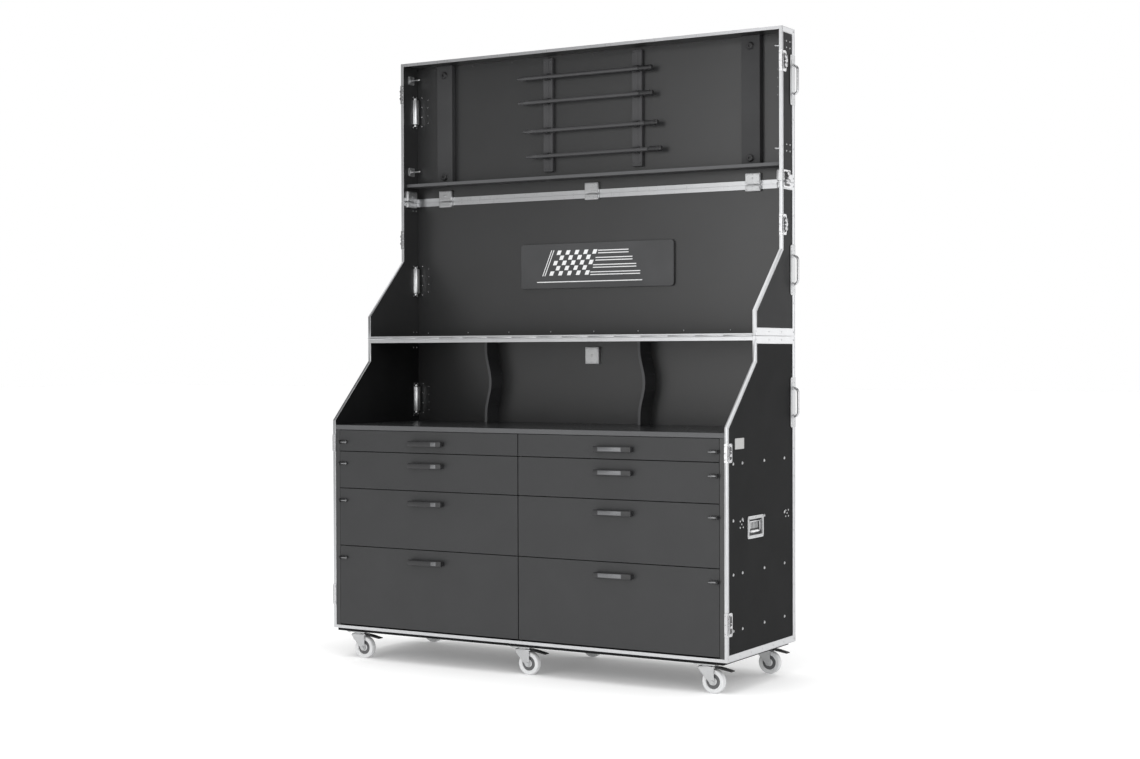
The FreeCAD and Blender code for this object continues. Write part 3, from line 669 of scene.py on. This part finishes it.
WING_OUT = 15.0
LOBE = [(5, 6), (13, 13), (13.6, 20), (8, 26)]      # one edge of a wing, from its middle
for side, s in SIDES.items():
    for name in ("low", "high", "joint"):
        node = f"wing_{side}_{name}"
        lo, hi = corners(node)
        y, z = centre(lo, hi)
        piece = Piece(f"{node}_butterfly", node, BRIGHT, replaces=(node,))
        out = WING_OUT - 3.4
        piece.lathe((s * (X1 + 3.4), y, z), (s, 0, 0),
                    [(9, 0), (9, 3), (7, 4), (7, out - 5), (9, out - 4), (9, out - 1.2),
                     (7.8, out), (4, out), (3.4, out - 1), (0, out - 1)], 24)
        for up in (-1, 1):
            lobe = [(y - u, z + up * v) for u, v in LOBE]
            lobe += [(y + u, z + up * v) for u, v in reversed(LOBE)]
            piece.prism("x", lobe, s * (X1 + WING_OUT - 5), s * (X1 + WING_OUT - 1.6), 0.8)
            piece.prism("x", [(y - 1.6, z + up * 7), (y - 1.6, z + up * 25),
                              (y + 1.6, z + up * 25), (y + 1.6, z + up * 7)],
                        s * (X1 + WING_OUT - 2), s * (X1 + WING_OUT), 0.6)
        piece.done()

# ------------------------------------------------------------------ recessed side handles
dish_lo, dish_hi = corners("side_dishes")
FLANGE_OUT = 12.0                    # flange beyond the pocket
GROOVES = 7
ya, yb = dish_lo.y + FLANGE_OUT, dish_hi.y - FLANGE_OUT
za, zb = dish_lo.z + FLANGE_OUT, dish_hi.z - FLANGE_OUT


def rim(grow, r):
    """Outline of the pocket, made larger or smaller all round."""
    return round_rect(ya - grow, yb + grow, za - grow, zb + grow, r)


pans = Piece("side_handle_pans", "base", ZINC, DARK_ZINC, replaces=("side_dishes",))
rivets = Piece("side_handle_rivets", "base", BRIGHT)
for s in BOTH:
    pans.prism("x", rim(FLANGE_OUT, 9), s * XP, s * (XP + 2), 0.6, hole=rim(-1.5, 3))
    pans.prism("x", rim(2, 5), s * (XP + 2), s * (XP + 3), 0.4, hole=rim(-1.5, 3))
    pans.prism("x", rim(0, 4), s * (XI - 4), s * XP, 0.5, hole=rim(-1.5, 3))
    pans.prism("x", rim(-1, 3), s * (XI - 4), s * (XI - 2.5), 0.4, mat=1)
    for k in range(GROOVES):
        u = ya + 22 + k * (yb - ya - 44) / (GROOVES - 1)
        groove = round_rect(u - 4, u + 4, za + 27, zb - 14, 3)
        pans.prism("x", groove, s * (XI - 2.5), s * (XI + 0.6), 0.6)
    for u in (ya - 5, (ya + yb) / 2, yb + 5):
        for v in (za - 5.5, zb + 5.5):
            rivets.dome((s * (XP + 2), u, v), (s, 0, 0), 3.2, 1.4)
pans.done()
rivets.done()
WIRE_R, BEND_R, LEG_IN = 3, 7, 12    # legs stand in from the ends of the pin
for side in SIDES:
    node = f"bail_{side}"
    lo, hi = corners(node)
    x, top = (lo.x + hi.x) / 2, hi.z - WIRE_R
    bail = Piece(f"{node}_wire", node, BRIGHT, replaces=(node,))
    grip = Piece(f"{node}_grip", node, HUB)
    near, far, bend = lo.y + LEG_IN, hi.y - LEG_IN, lo.z + 12
    legs = [(near, top), (near, bend)]
    legs += arc(near + BEND_R, bend, BEND_R, 180, 270, 6)
    legs += arc(far - BEND_R, bend, BEND_R, 270, 360, 6)
    legs += [(far, bend), (far, top)]
    bail.tube([(x, u, v) for u, v in legs], WIRE_R)
    bail.rod((x, lo.y, top), (x, hi.y, top), WIRE_R)
    middle = (lo.y + hi.y) / 2
    rings = [(3.2, 0), (5.0, 2)]
    for i in range(9):
        rings += [(5.0, 4 + i * 7.0), (4.3, 5.2 + i * 7.0), (5.0, 6.4 + i * 7.0)]
    rings += [(5.0, 64), (3.2, 66)]
    grip.lathe((x, middle - 33, lo.z + 5.2), (0, 1, 0), rings, 20)
    bail.done()
    grip.done()

# ------------------------------------------------------------------ bolts, rivet crosses, label
BOLT_Y, BOLT_Z = [-613.0, -527.0, -315.0, -111.0], [942.0, 710.0, 490.0, 260.0]
BOLT_HEAD = [(6.4, 0), (6.4, 0.7), (5.2, 1.2), (4.6, 2.6), (2.4, 3.0), (2.0, 2.2), (0, 2.2)]
CROSSES = ((-533.0, 690.0), (-83.0, 703.0))
bolts = Piece("side_bolts", "base", ZINC, replaces=("side_fittings",))
for s in BOTH:
    for y in BOLT_Y:
        for z in BOLT_Z:
            bolts.lathe((s * XP, y, z), (s, 0, 0), BOLT_HEAD, 18)
    for y, z in CROSSES:
        for dy, dz in ((-14, 13), (14, 13), (0, 0), (-14, -13), (14, -13)):
            bolts.dome((s * XP, y + dy, z + dz), (s, 0, 0), 4.0, 2.0)
bolts.done()
label = Piece("side_label", "base", PALE, ZINC)
label.prism("x", round_rect(-597, -512, 1000, 1045, 4), XP, XP + 1.6, 0.3)
label.prism("x", round_rect(-594, -515, 1003, 1042, 3), XP + 1.6, XP + 2, 0.15,
            hole=round_rect(-592, -517, 1005, 1040, 2))
for y in (-592, -517):
    for z in (1005, 1040):
        label.dome((XP + 1.6, y, z), (1, 0, 0), 2.0, 1.0, 8, 1)
label.done()

# ------------------------------------------------------------------ lid hinge
KNUCKLES = 15
knuckle_y = corners("hinge_lid")[0].y + 3.5
length = 2 * (X1 - LIP)
pitch = length / KNUCKLES
leaves = {
    "base": Piece("hinge_leaf_base", "base", ALU, slot="profile", replaces=("hinge_base",)),
    "lid_lower": Piece("hinge_leaf_lid", "lid_lower", ALU, slot="profile",
                       replaces=("hinge_lid",)),
}
for i in range(KNUCKLES):
    body = "base" if i % 2 == 0 else "lid_lower"
    start = -(X1 - LIP) + i * pitch
    leaves[body].rod((start + 0.5, knuckle_y, JOINT), (start + pitch - 0.5, knuckle_y, JOINT), 3.5,
                     0.5, 16)
    s = -1 if body == "base" else 1
    leaves[body].box(start + 0.5, start + pitch - 0.5, HALF - 1.5, HALF, JOINT + s * 0.5,
                     JOINT + s * 6, 0.2)
for body, near, far in (("base", -6, -TOP_LIP), ("lid_lower", 6, FOOT_LIP)):
    leaves[body].box(-(X1 - LIP), X1 - LIP, HALF - 1.5, HALF, JOINT + near, JOINT + far, 0.4)
    screw_z = JOINT + (near + far) / 2
    leaves[body].domes((-X1 + 50, HALF - 1.5, screw_z), (X1 - 50, HALF - 1.5, screw_z),
                       100, (0, -1, 0), 1.8 if body == "lid_lower" else 3.0, 0.9)
leaves["base"].rod((-X1, knuckle_y, JOINT), (X1, knuckle_y, JOINT), 1.5, 0.3, 12)
for piece in leaves.values():
    piece.done()

# ------------------------------------------------------------------ sign panel
sign_lo, sign_hi = corners("sign_panel")
sign = Piece("sign_board", "lid_lower", SHEET, BLACK, slot="sign", replaces=("sign_panel",))
sign.prism("y", round_rect(sign_lo.x, sign_hi.x, sign_lo.z, sign_hi.z, 14), sign_hi.y,
           sign_lo.y + 0.4, 1.2)
sign.done()
motif = Piece("sign_motif", "lid_lower", LINES, slot="sign")
LINE, SLANT = 4.0, 0.42              # line width, and lean of the slanted ends


def slanted(x0, x1, z0, z1):
    """Leaning bar between two heights."""
    lean = (z1 - z0) * SLANT
    points = [(x0, z0), (x1, z0), (x1 + lean, z1), (x0 + lean, z1)]
    motif.prism("y", points, sign_lo.y + 0.4, sign_lo.y, 0)


sign_x, sign_z = (sign_lo.x + sign_hi.x) / 2 - 26, (sign_lo.z + sign_hi.z) / 2 + 14
HALF_W, HALF_H, CELL = 292.0, 60.0, 24.0
for row in range(5):
    z0 = sign_z - HALF_H + row * CELL
    lean = row * CELL * SLANT
    for column in range(9):
        if (row + column) % 2 == 0:
            x0 = sign_x - HALF_W + 66 + column * CELL + lean
            slanted(x0 + 2, x0 + CELL - 2, z0 + 2, z0 + CELL - 2)
for k in range(4):
    z0 = sign_z - HALF_H + k * 33
    start = sign_x - 2 + k * 33 * SLANT
    for up in (0, 12):
        slanted(start, start + 262 - k * 34, z0 + up, z0 + up + LINE)
for along in (30, 42):
    start = sign_x - HALF_W + along
    slanted(start, start + LINE, sign_z - HALF_H, sign_z + HALF_H)
slanted(sign_x - HALF_W, sign_x + 270, sign_z - HALF_H - 30, sign_z - HALF_H - 26)
motif.done()

# ------------------------------------------------------------------ top section fittings
batten_lo, batten_hi = corners("battens")
BATTEN_X, BATTEN_W, BATTEN_T = 813.0, 88.0, 28.0
KNOB = [(17, 0), (17, 2), (15, 4), (14.5, 10), (12.5, 12), (6.5, 12), (6, 7), (0, 7)]
battens = Piece("batten_boards", "lid_upper", BOARD, slot="shelf_board", replaces=("battens",))
knobs = Piece("batten_knobs", "lid_upper", BLACK, slot="shelf_board")
for s in BOTH:
    x = s * BATTEN_X
    battens.box(x - BATTEN_W / 2, x + BATTEN_W / 2, YI - BATTEN_T, YI,
                batten_lo.z, batten_hi.z, 1.5)
    for z in (batten_lo.z + 31, batten_hi.z - 47):
        knobs.lathe((x, YI - BATTEN_T, z), (0, -1, 0), KNOB, 28)
battens.done()
knobs.done()

RAIL_X, RAIL_T = [-233.0, 241.0], 20.0
rail_lo, rail_hi = corners("bar_rails")
bar_boxes = [corners(f"bar_{i}") for i in range(1, 5)]
BAR_R = 9.0
rails = Piece("bar_rail_strips", "lid_upper", COATED, slot="rail_black", replaces=("bar_rails",))
clips = Piece("bar_clips", "lid_upper", BLACK, slot="rail_black")
for x in RAIL_X:
    rails.box(x - 25, x + 25, YI - RAIL_T, YI, rail_lo.z, rail_hi.z, 1.5)
    rails.box(x - 6, x + 6, YI - RAIL_T - 1.2, YI - RAIL_T, rail_lo.z + 8, rail_hi.z - 8, 0.5)
    for z in (rail_lo.z + 14, rail_hi.z - 14):
        for dx in (-16, 16):
            rails.dome((x + dx, YI - RAIL_T, z), (0, -1, 0), 4.5, 2.0, 14)
    for lo, hi in bar_boxes:
        y, z = centre(lo, hi)
        clips.box(x - 15, x + 15, YI - RAIL_T - 5, YI - RAIL_T, z - 17, z + 17, 1.5)
        for up in (-1, 1):
            jaw = arc(y, z, BAR_R + 0.6, up * 8, up * 128, 8)
            jaw += arc(y, z, BAR_R + 4.2, up * 128, up * 30, 8)
            jaw += [(YI - RAIL_T - 4, z + up * 9), (YI - RAIL_T - 4, z + up * 2.2)]
            clips.prism("x", jaw, x - 14, x + 14, 0.5)
rails.done()
clips.done()

GRIP_R, GRIP_L = 12.0, 100.0
for i, (lo, hi) in enumerate(bar_boxes):
    node = f"bar_{i + 1}"
    y, z = centre(lo, hi)
    bar = Piece(f"{node}_tube", node, COATED, slot="bar_steel", replaces=(node,))
    full = hi.x - lo.x
    bar.lathe((lo.x, y, z), (1, 0, 0),
              [(0, 0), (5.6, 0), (6.4, 0.8), (6.4, 16), (8.4, 18), (9, 19), (9, 60), (8.2, 61),
               (8.2, 63), (9, 64), (9, full - 70)], 28)
    bar.done()
    grip = Piece(f"{node}_grip", node, BLACK, slot="bar_steel")
    start = full - GRIP_L * 0.68
    rings = [(8.6, start), (10.8, start + 1), (GRIP_R, start + 3)]
    for k in range(6):
        at = start + 8 + k * 6.5
        rings += [(GRIP_R, at), (10.9, at + 1.2), (10.9, at + 2.4), (GRIP_R, at + 3.6)]
    rings += [(GRIP_R, full - 16), (10.4, full - 14.5), (10.4, full - 12), (GRIP_R, full - 10.5),
              (GRIP_R, full - 3), (10, full - 0.6), (0, full)]
    grip.lathe((lo.x, y, z), (1, 0, 0), rings, 28)
    grip.done()

pegs = Piece("hanging_pegs", "lid_upper", ZINC, replaces=("pegs",))
PEG_Y, PEG_OUT = -64.0, 50.0
PEG_RIVETS = [(dy, dz) for dy in (-18, 18) for dz in (-14, 14)]
for s in BOTH:
    for z in (ROOF - 73.0, ROOF - 517.0):
        pegs.prism("x", round_rect(PEG_Y - 25, PEG_Y + 25, z - 21, z + 21, 6), s * XI,
                   s * (XI - 2.5), 0.6)
        pegs.prism("x", round_rect(PEG_Y - 13, PEG_Y + 13, z - 12, z + 12, 4), s * (XI - 2.5),
                   s * (XI - 5), 1.0)
        for dy, dz in PEG_RIVETS:
            pegs.dome((s * (XI - 2.5), PEG_Y + dy, z + dz), (-s, 0, 0), 3.6, 1.8)
        path = [(XI - 4, z), (XI - PEG_OUT + 5, z)]
        path += arc(XI - PEG_OUT + 5, z + 6, 6, 270, 205, 5)
        pegs.tube([(s * u, PEG_Y, v) for u, v in path], 4.6)
        for dy, dz in PEG_RIVETS:
            pegs.dome((s * XP, PEG_Y + dy, z + dz), (s, 0, 0), 3.8, 1.8)
pegs.done()

# ------------------------------------------------------------------ drawers
DRAWER_FRONT_T = 18.0
PULL_X, PULL_W, PULL_DROP, LOCK_X = 480.0, 180.0, 54.0, 958.0
PULL_HIGHLIGHTS = {"right": (-68, 44), "left": (-63, -36)}    # painted highlight on a pull: a pale patch off its middle, where it reflects light
front_y = FRONT + SKIN - 0.5
for side, s in SIDES.items():
    for row in range(1, 5):
        node = f"drawer_{side}_{row}"
        lo, hi = corners(node)
        inner, outer = 2.0, X1 - 36.0 - 1.5
        front = Piece(f"{node}_front", node, FRONTS, slot="graphite_front", replaces=(node,))
        front.box(s * inner, s * outer, front_y, front_y + DRAWER_FRONT_T + 0.5, lo.z, hi.z, 1.0)
        front.done()
        x0, x1 = 22.0, XI - 20.5 - 13.0
        y0, y1 = front_y + DRAWER_FRONT_T + 0.5, hi.y
        z0, z1, t = lo.z + 8, hi.z - 14, 12.0
        tray = Piece(f"{node}_tray", node, TRAY, slot="graphite_front")
        tray.box(s * x0, s * x1, y0, y1, z0, z0 + t, 0.6)
        for a, b in ((x0, x0 + t), (x1 - t, x1)):
            tray.box(s * a, s * b, y0, y1, z0 + t, z1, 1.2)
        tray.box(s * (x0 + t), s * (x1 - t), y1 - t, y1, z0 + t, z1, 1.2)
        tray.done()
        slides = Piece(f"{node}_slides", node, ROLLED, slot="runner")
        for a, b in ((x0 - 5.5, x0), (x1, x1 + 5.5)):
            slides.box(s * a, s * b, y0 + 4, y1 - 6, z0 + 16, z0 + 42, 1.4)
        slides.done()
        pull_z = hi.z - PULL_DROP
        pull = Piece(f"{node}_pull", node, PULL, PULL_PAINTED_HIGHLIGHT, slot="graphite_front")
        ends = (PULL_X - PULL_W / 2, PULL_X + PULL_W / 2)
        profile = round_rect(front_y - 25.7, front_y - 14, pull_z - 12, pull_z + 12, 4, 5)
        pull.prism("x", profile, s * ends[0], s * ends[1], 1.6)
        for a in (ends[0], ends[1] - 32):
            pull.box(s * a, s * (a + 32), front_y - 14.5, front_y, pull_z - 10, pull_z + 10, 1.5)
        # painted highlight: a pale patch on the pull's front, placed where it reflects light
        face = round_rect(front_y - 26, front_y - 22, pull_z - 9.5, pull_z + 9.5, 2, 4)
        pull.prism("x", face, s * (PULL_X + PULL_HIGHLIGHTS[side][0]), s * (PULL_X + PULL_HIGHLIGHTS[side][1]), 0.5,
                   mat=1)
        pull.done()
        lock = Piece(f"{node}_lock", node, BLACK, LOCK, slot="graphite_front")
        lock.box(s * (LOCK_X - 30), s * (LOCK_X - 8), front_y - 5, front_y,
                 pull_z - 8, pull_z + 8, 1)
        pin = (s * LOCK_X, front_y - 9, pull_z)
        lock.rod((s * (LOCK_X - 36), front_y - 9, pull_z), pin, 4, 0.8, 18, 1)
        lock.lathe(pin, (s, 0, 0),
                   [(4, 0), (8.2, 0.8), (9, 2), (9, 6), (7.5, 8), (0, 8)], 24)
        for dz in (-5.5, 5.5):
            lock.dome((s * (LOCK_X - 26), front_y - 5, pull_z + dz), (0, -1, 0), 1.6, 0.8, 8, 1)
        lock.done()

# ------------------------------------------------------------------ casters
WHEEL_R, WHEEL_W, TRAIL, CASTER_H = 50.0, 30.0, 28.0, 125.0
RACE = [(0, 0), (27, 0), (30, 2), (30, 4.5), (26.5, 5.5), (26.5, 6.5), (30, 7.5), (30, 9)]
head = Piece("caster_heads", "base", ZINC, replaces=("caster_plates",))
CASTERS = {"left": -891.0, "centre": 0.0, "right": 891.0}
ROWS = {"front": -618.0, "rear": -75.0}
for side, x in CASTERS.items():
    for place_name, y in ROWS.items():
        head.prism("z", round_rect(x - 50, x + 50, y - 42, y + 42, 8),
                   CASTER_H - 4, CASTER_H, 0.6)
        head.lathe((x, y, CASTER_H - 13), (0, 0, 1), RACE, 32)
        for dx in (-40, 40):
            for dy in (-31, 31):
                head.lathe((x + dx, y + dy, CASTER_H - 4), (0, 0, -1),
                           [(6.2, 0), (6.2, 3.6), (4, 4.4), (0, 4.4)], 6)
        node = f"caster_{place_name}_{side}_fork"
        axle, crown, half = x + TRAIL, CASTER_H - 13.5, WHEEL_W / 2 + 4
        fork = Piece(f"{node}_frame", node, ZINC, slot="fork_zinc", replaces=(node,))
        fork.prism("z", round_rect(x - 37, x + 40, y - half - 4, y + half + 4, 9),
                   crown - 6, crown, 1)
        for up in (-1, 1):
            leg = [(axle - 65, crown - 5), (axle - 52, WHEEL_R + 38), (axle - 34, WHEEL_R + 20)]
            leg += arc(axle, WHEEL_R, 14, 190, 370, 9)
            leg += [(axle + 9, WHEEL_R + 20), (axle + 8, crown - 5)]
            fork.prism("y", leg, y + up * half, y + up * (half + 4), 0.9)
            fork.lathe((axle, y + up * (half + 4), WHEEL_R), (0, up, 0),
                       [(9.5, 0), (9.5, 1.2), (8, 1.6), (7.6, 4.4), (3.4, 4.8), (0, 4.8)], 6)
        fork.rod((axle, y - half, WHEEL_R), (axle, y + half, WHEEL_R), 6)
        fork.done()
        pedal = Piece(f"{node}_pedal", node, BLACK, slot="fork_zinc")
        tread = [(x + 40, crown - 6), (x + 40, crown), (x + 62, crown - 2), (x + 115, crown - 13),
                 (x + 115, crown - 17), (x + 60, crown - 9)]
        pedal.prism("y", tread, y - 16, y + 16, 1.2)
        for k in range(4):
            at = x + 74 + k * 10
            pedal.box(at, at + 3.5, y - 13, y + 13,
                      crown - 7.0 - k * 2.1, crown - 3.6 - k * 2.1, 0.5)
        pedal.done()
        node = f"caster_{place_name}_{side}_wheel"
        tyre = Piece(f"{node}_tyre", node, TYRE, slot="wheel_grey", replaces=(node,))
        w = WHEEL_W / 2
        tyre.lathe((axle, y, WHEEL_R), (0, 1, 0),
                   [(35, -w + 1), (44, -w), (48, -w + 1.6), (49.6, -w + 5), (50, 0), (49.6, w - 5),
                    (48, w - 1.6), (44, w), (35, w - 1), (35, -w + 1)], 48)
        tyre.done()
        hub = Piece(f"{node}_hub", node, HUB, RING, slot="wheel_grey")
        hub.lathe((axle, y, WHEEL_R), (0, 1, 0),
                  [(14, -w + 1), (15.5, -w + 5), (31.5, -w + 5), (33, -w + 1.4), (35.4, -w + 2),
                   (35.4, w - 2), (33, w - 1.4), (31.5, w - 5), (15.5, w - 5), (14, w - 1)], 40)
        for up in (-1, 1):
            cover = [(16.5, up * (w - 5.5)), (16.5, up * (w - 4.4)), (24, up * (w - 3.6)),
                     (31, up * (w - 4.4)), (31, up * (w - 5.5)), (16.5, up * (w - 5.5))]
            hub.lathe((axle, y, WHEEL_R), (0, 1, 0), cover, 36, mat=1)
            hub.lathe((axle, y, WHEEL_R), (0, 1, 0),
                      [(14, up * (w - 4)), (13, up * (w - 0.4)), (8, up * w), (7, up * (w - 2))],
                      24)
        hub.done()
head.done()

# ------------------------------------------------------------------ floor, light and camera
floor_mesh = bpy.data.meshes.new("studio_floor")
FLOOR_SIZE = 60.0
floor_mesh.from_pydata(
    [(u * FLOOR_SIZE, v * FLOOR_SIZE, 0) for u, v in ((-1, -1), (1, -1), (1, 1), (-1, 1))],
    [], [(0, 1, 2, 3)])
floor = new_object("studio_floor", floor_mesh)
floor_mesh.materials.append(
    surface("studio_floor_paint", (0.90, 0.90, 0.90), 0.9, grain=40, bump=0.0, mottle=0.01))
glow = floor_mesh.materials[0].node_tree.nodes["Principled BSDF"]
put(glow, {"Emission Color": (1, 1, 1, 1), "Emission Strength": 0.16})

world = bpy.data.worlds.new("studio")
world.use_nodes = True
bpy.context.scene.world = world
backdrop = world.node_tree.nodes["Background"]
put(backdrop, {"Color": (1, 1, 1, 1)})
# white to look at and to light with; what shines reflects a room darker upwards and to the left
room = world.node_tree
toward = room.nodes.new("ShaderNodeTexCoord")
heights = room.nodes.new("ShaderNodeSeparateXYZ")
room.links.new(toward.outputs["Generated"], heights.inputs["Vector"])
fade = room.nodes.new("ShaderNodeMapRange")
put(fade, {"From Min": -0.02, "From Max": 0.30, "To Min": 0.60, "To Max": 0.24})
room.links.new(heights.outputs["Z"], fade.inputs["Value"])
aside = room.nodes.new("ShaderNodeMapRange")
put(aside, {"From Min": -0.62, "From Max": -0.36, "To Min": 0.72, "To Max": 1.0})
room.links.new(heights.outputs["X"], aside.inputs["Value"])
both = room.nodes.new("ShaderNodeMath")
both.operation = "MULTIPLY"
room.links.new(fade.outputs["Result"], both.inputs[0])
room.links.new(aside.outputs["Result"], both.inputs[1])
rays = room.nodes.new("ShaderNodeLightPath")
strength = room.nodes.new("ShaderNodeMix")
put(strength, {"A": 1.0})
room.links.new(rays.outputs["Is Glossy Ray"], strength.inputs["Factor"])
room.links.new(both.outputs["Value"], strength.inputs["B"])
room.links.new(strength.outputs["Result"], backdrop.inputs["Strength"])


def softbox(name, location, target, width, height, power):
    """Rectangular lamp that looks at a target; metres and watts."""
    light = bpy.data.lights.new(name, "AREA")
    light.shape = "RECTANGLE"
    light.size, light.size_y = width, height
    light.energy = power
    thing = new_object(name, light)
    thing.location = location
    aim = Vector(target) - Vector(location)
    thing.rotation_euler = aim.to_track_quat("-Z", "Y").to_euler()


softbox("front_left_box", (-1.1, -7.2, 2.6), (0.2, 0.3, 1.6), 3.2, 4.6, 82)
softbox("rear_right_box", (5.0, 7.0, 2.9), (1.0, 0.2, 1.4), 4.0, 4.2, 62)
softbox("fill_box", (6.4, -5.6, 3.0), (-0.9, 0, 1.2), 4.5, 4.5, 170)
softbox("overhead_box", (0.0, -1.5, 7.5), (0, -0.2, 0), 6.0, 6.0, 150)

CAMERA_AT = Vector((4.2976, -7.0566, 1.3892))
YAW, PITCH, ROLL = 0.5396, -0.0135, -0.003
LENS = 58.40                         # mm on a 36 mm wide sensor, for an image of 1140 x 759
camera_data = bpy.data.cameras.new("photo_view")
camera_data.lens = LENS
camera_data.sensor_width = 36.0
camera_data.clip_end = 200
camera = new_object("photo_view", camera_data)
right = Vector((math.cos(YAW), math.sin(YAW), 0))
ahead = Vector((-math.sin(YAW), math.cos(YAW), 0))
up = Vector((0, 0, 1))
forward = ahead * math.cos(PITCH) + up * math.sin(PITCH)
up = up * math.cos(PITCH) - ahead * math.sin(PITCH)
across = right * math.cos(ROLL) + up * math.sin(ROLL)
upright = up * math.cos(ROLL) - right * math.sin(ROLL)
camera.matrix_world = Matrix.Translation(CAMERA_AT) @ Matrix(
    (across, upright, -forward)).transposed().to_4x4()
bpy.context.scene.camera = camera
bpy.context.scene.view_settings.view_transform = "Standard"
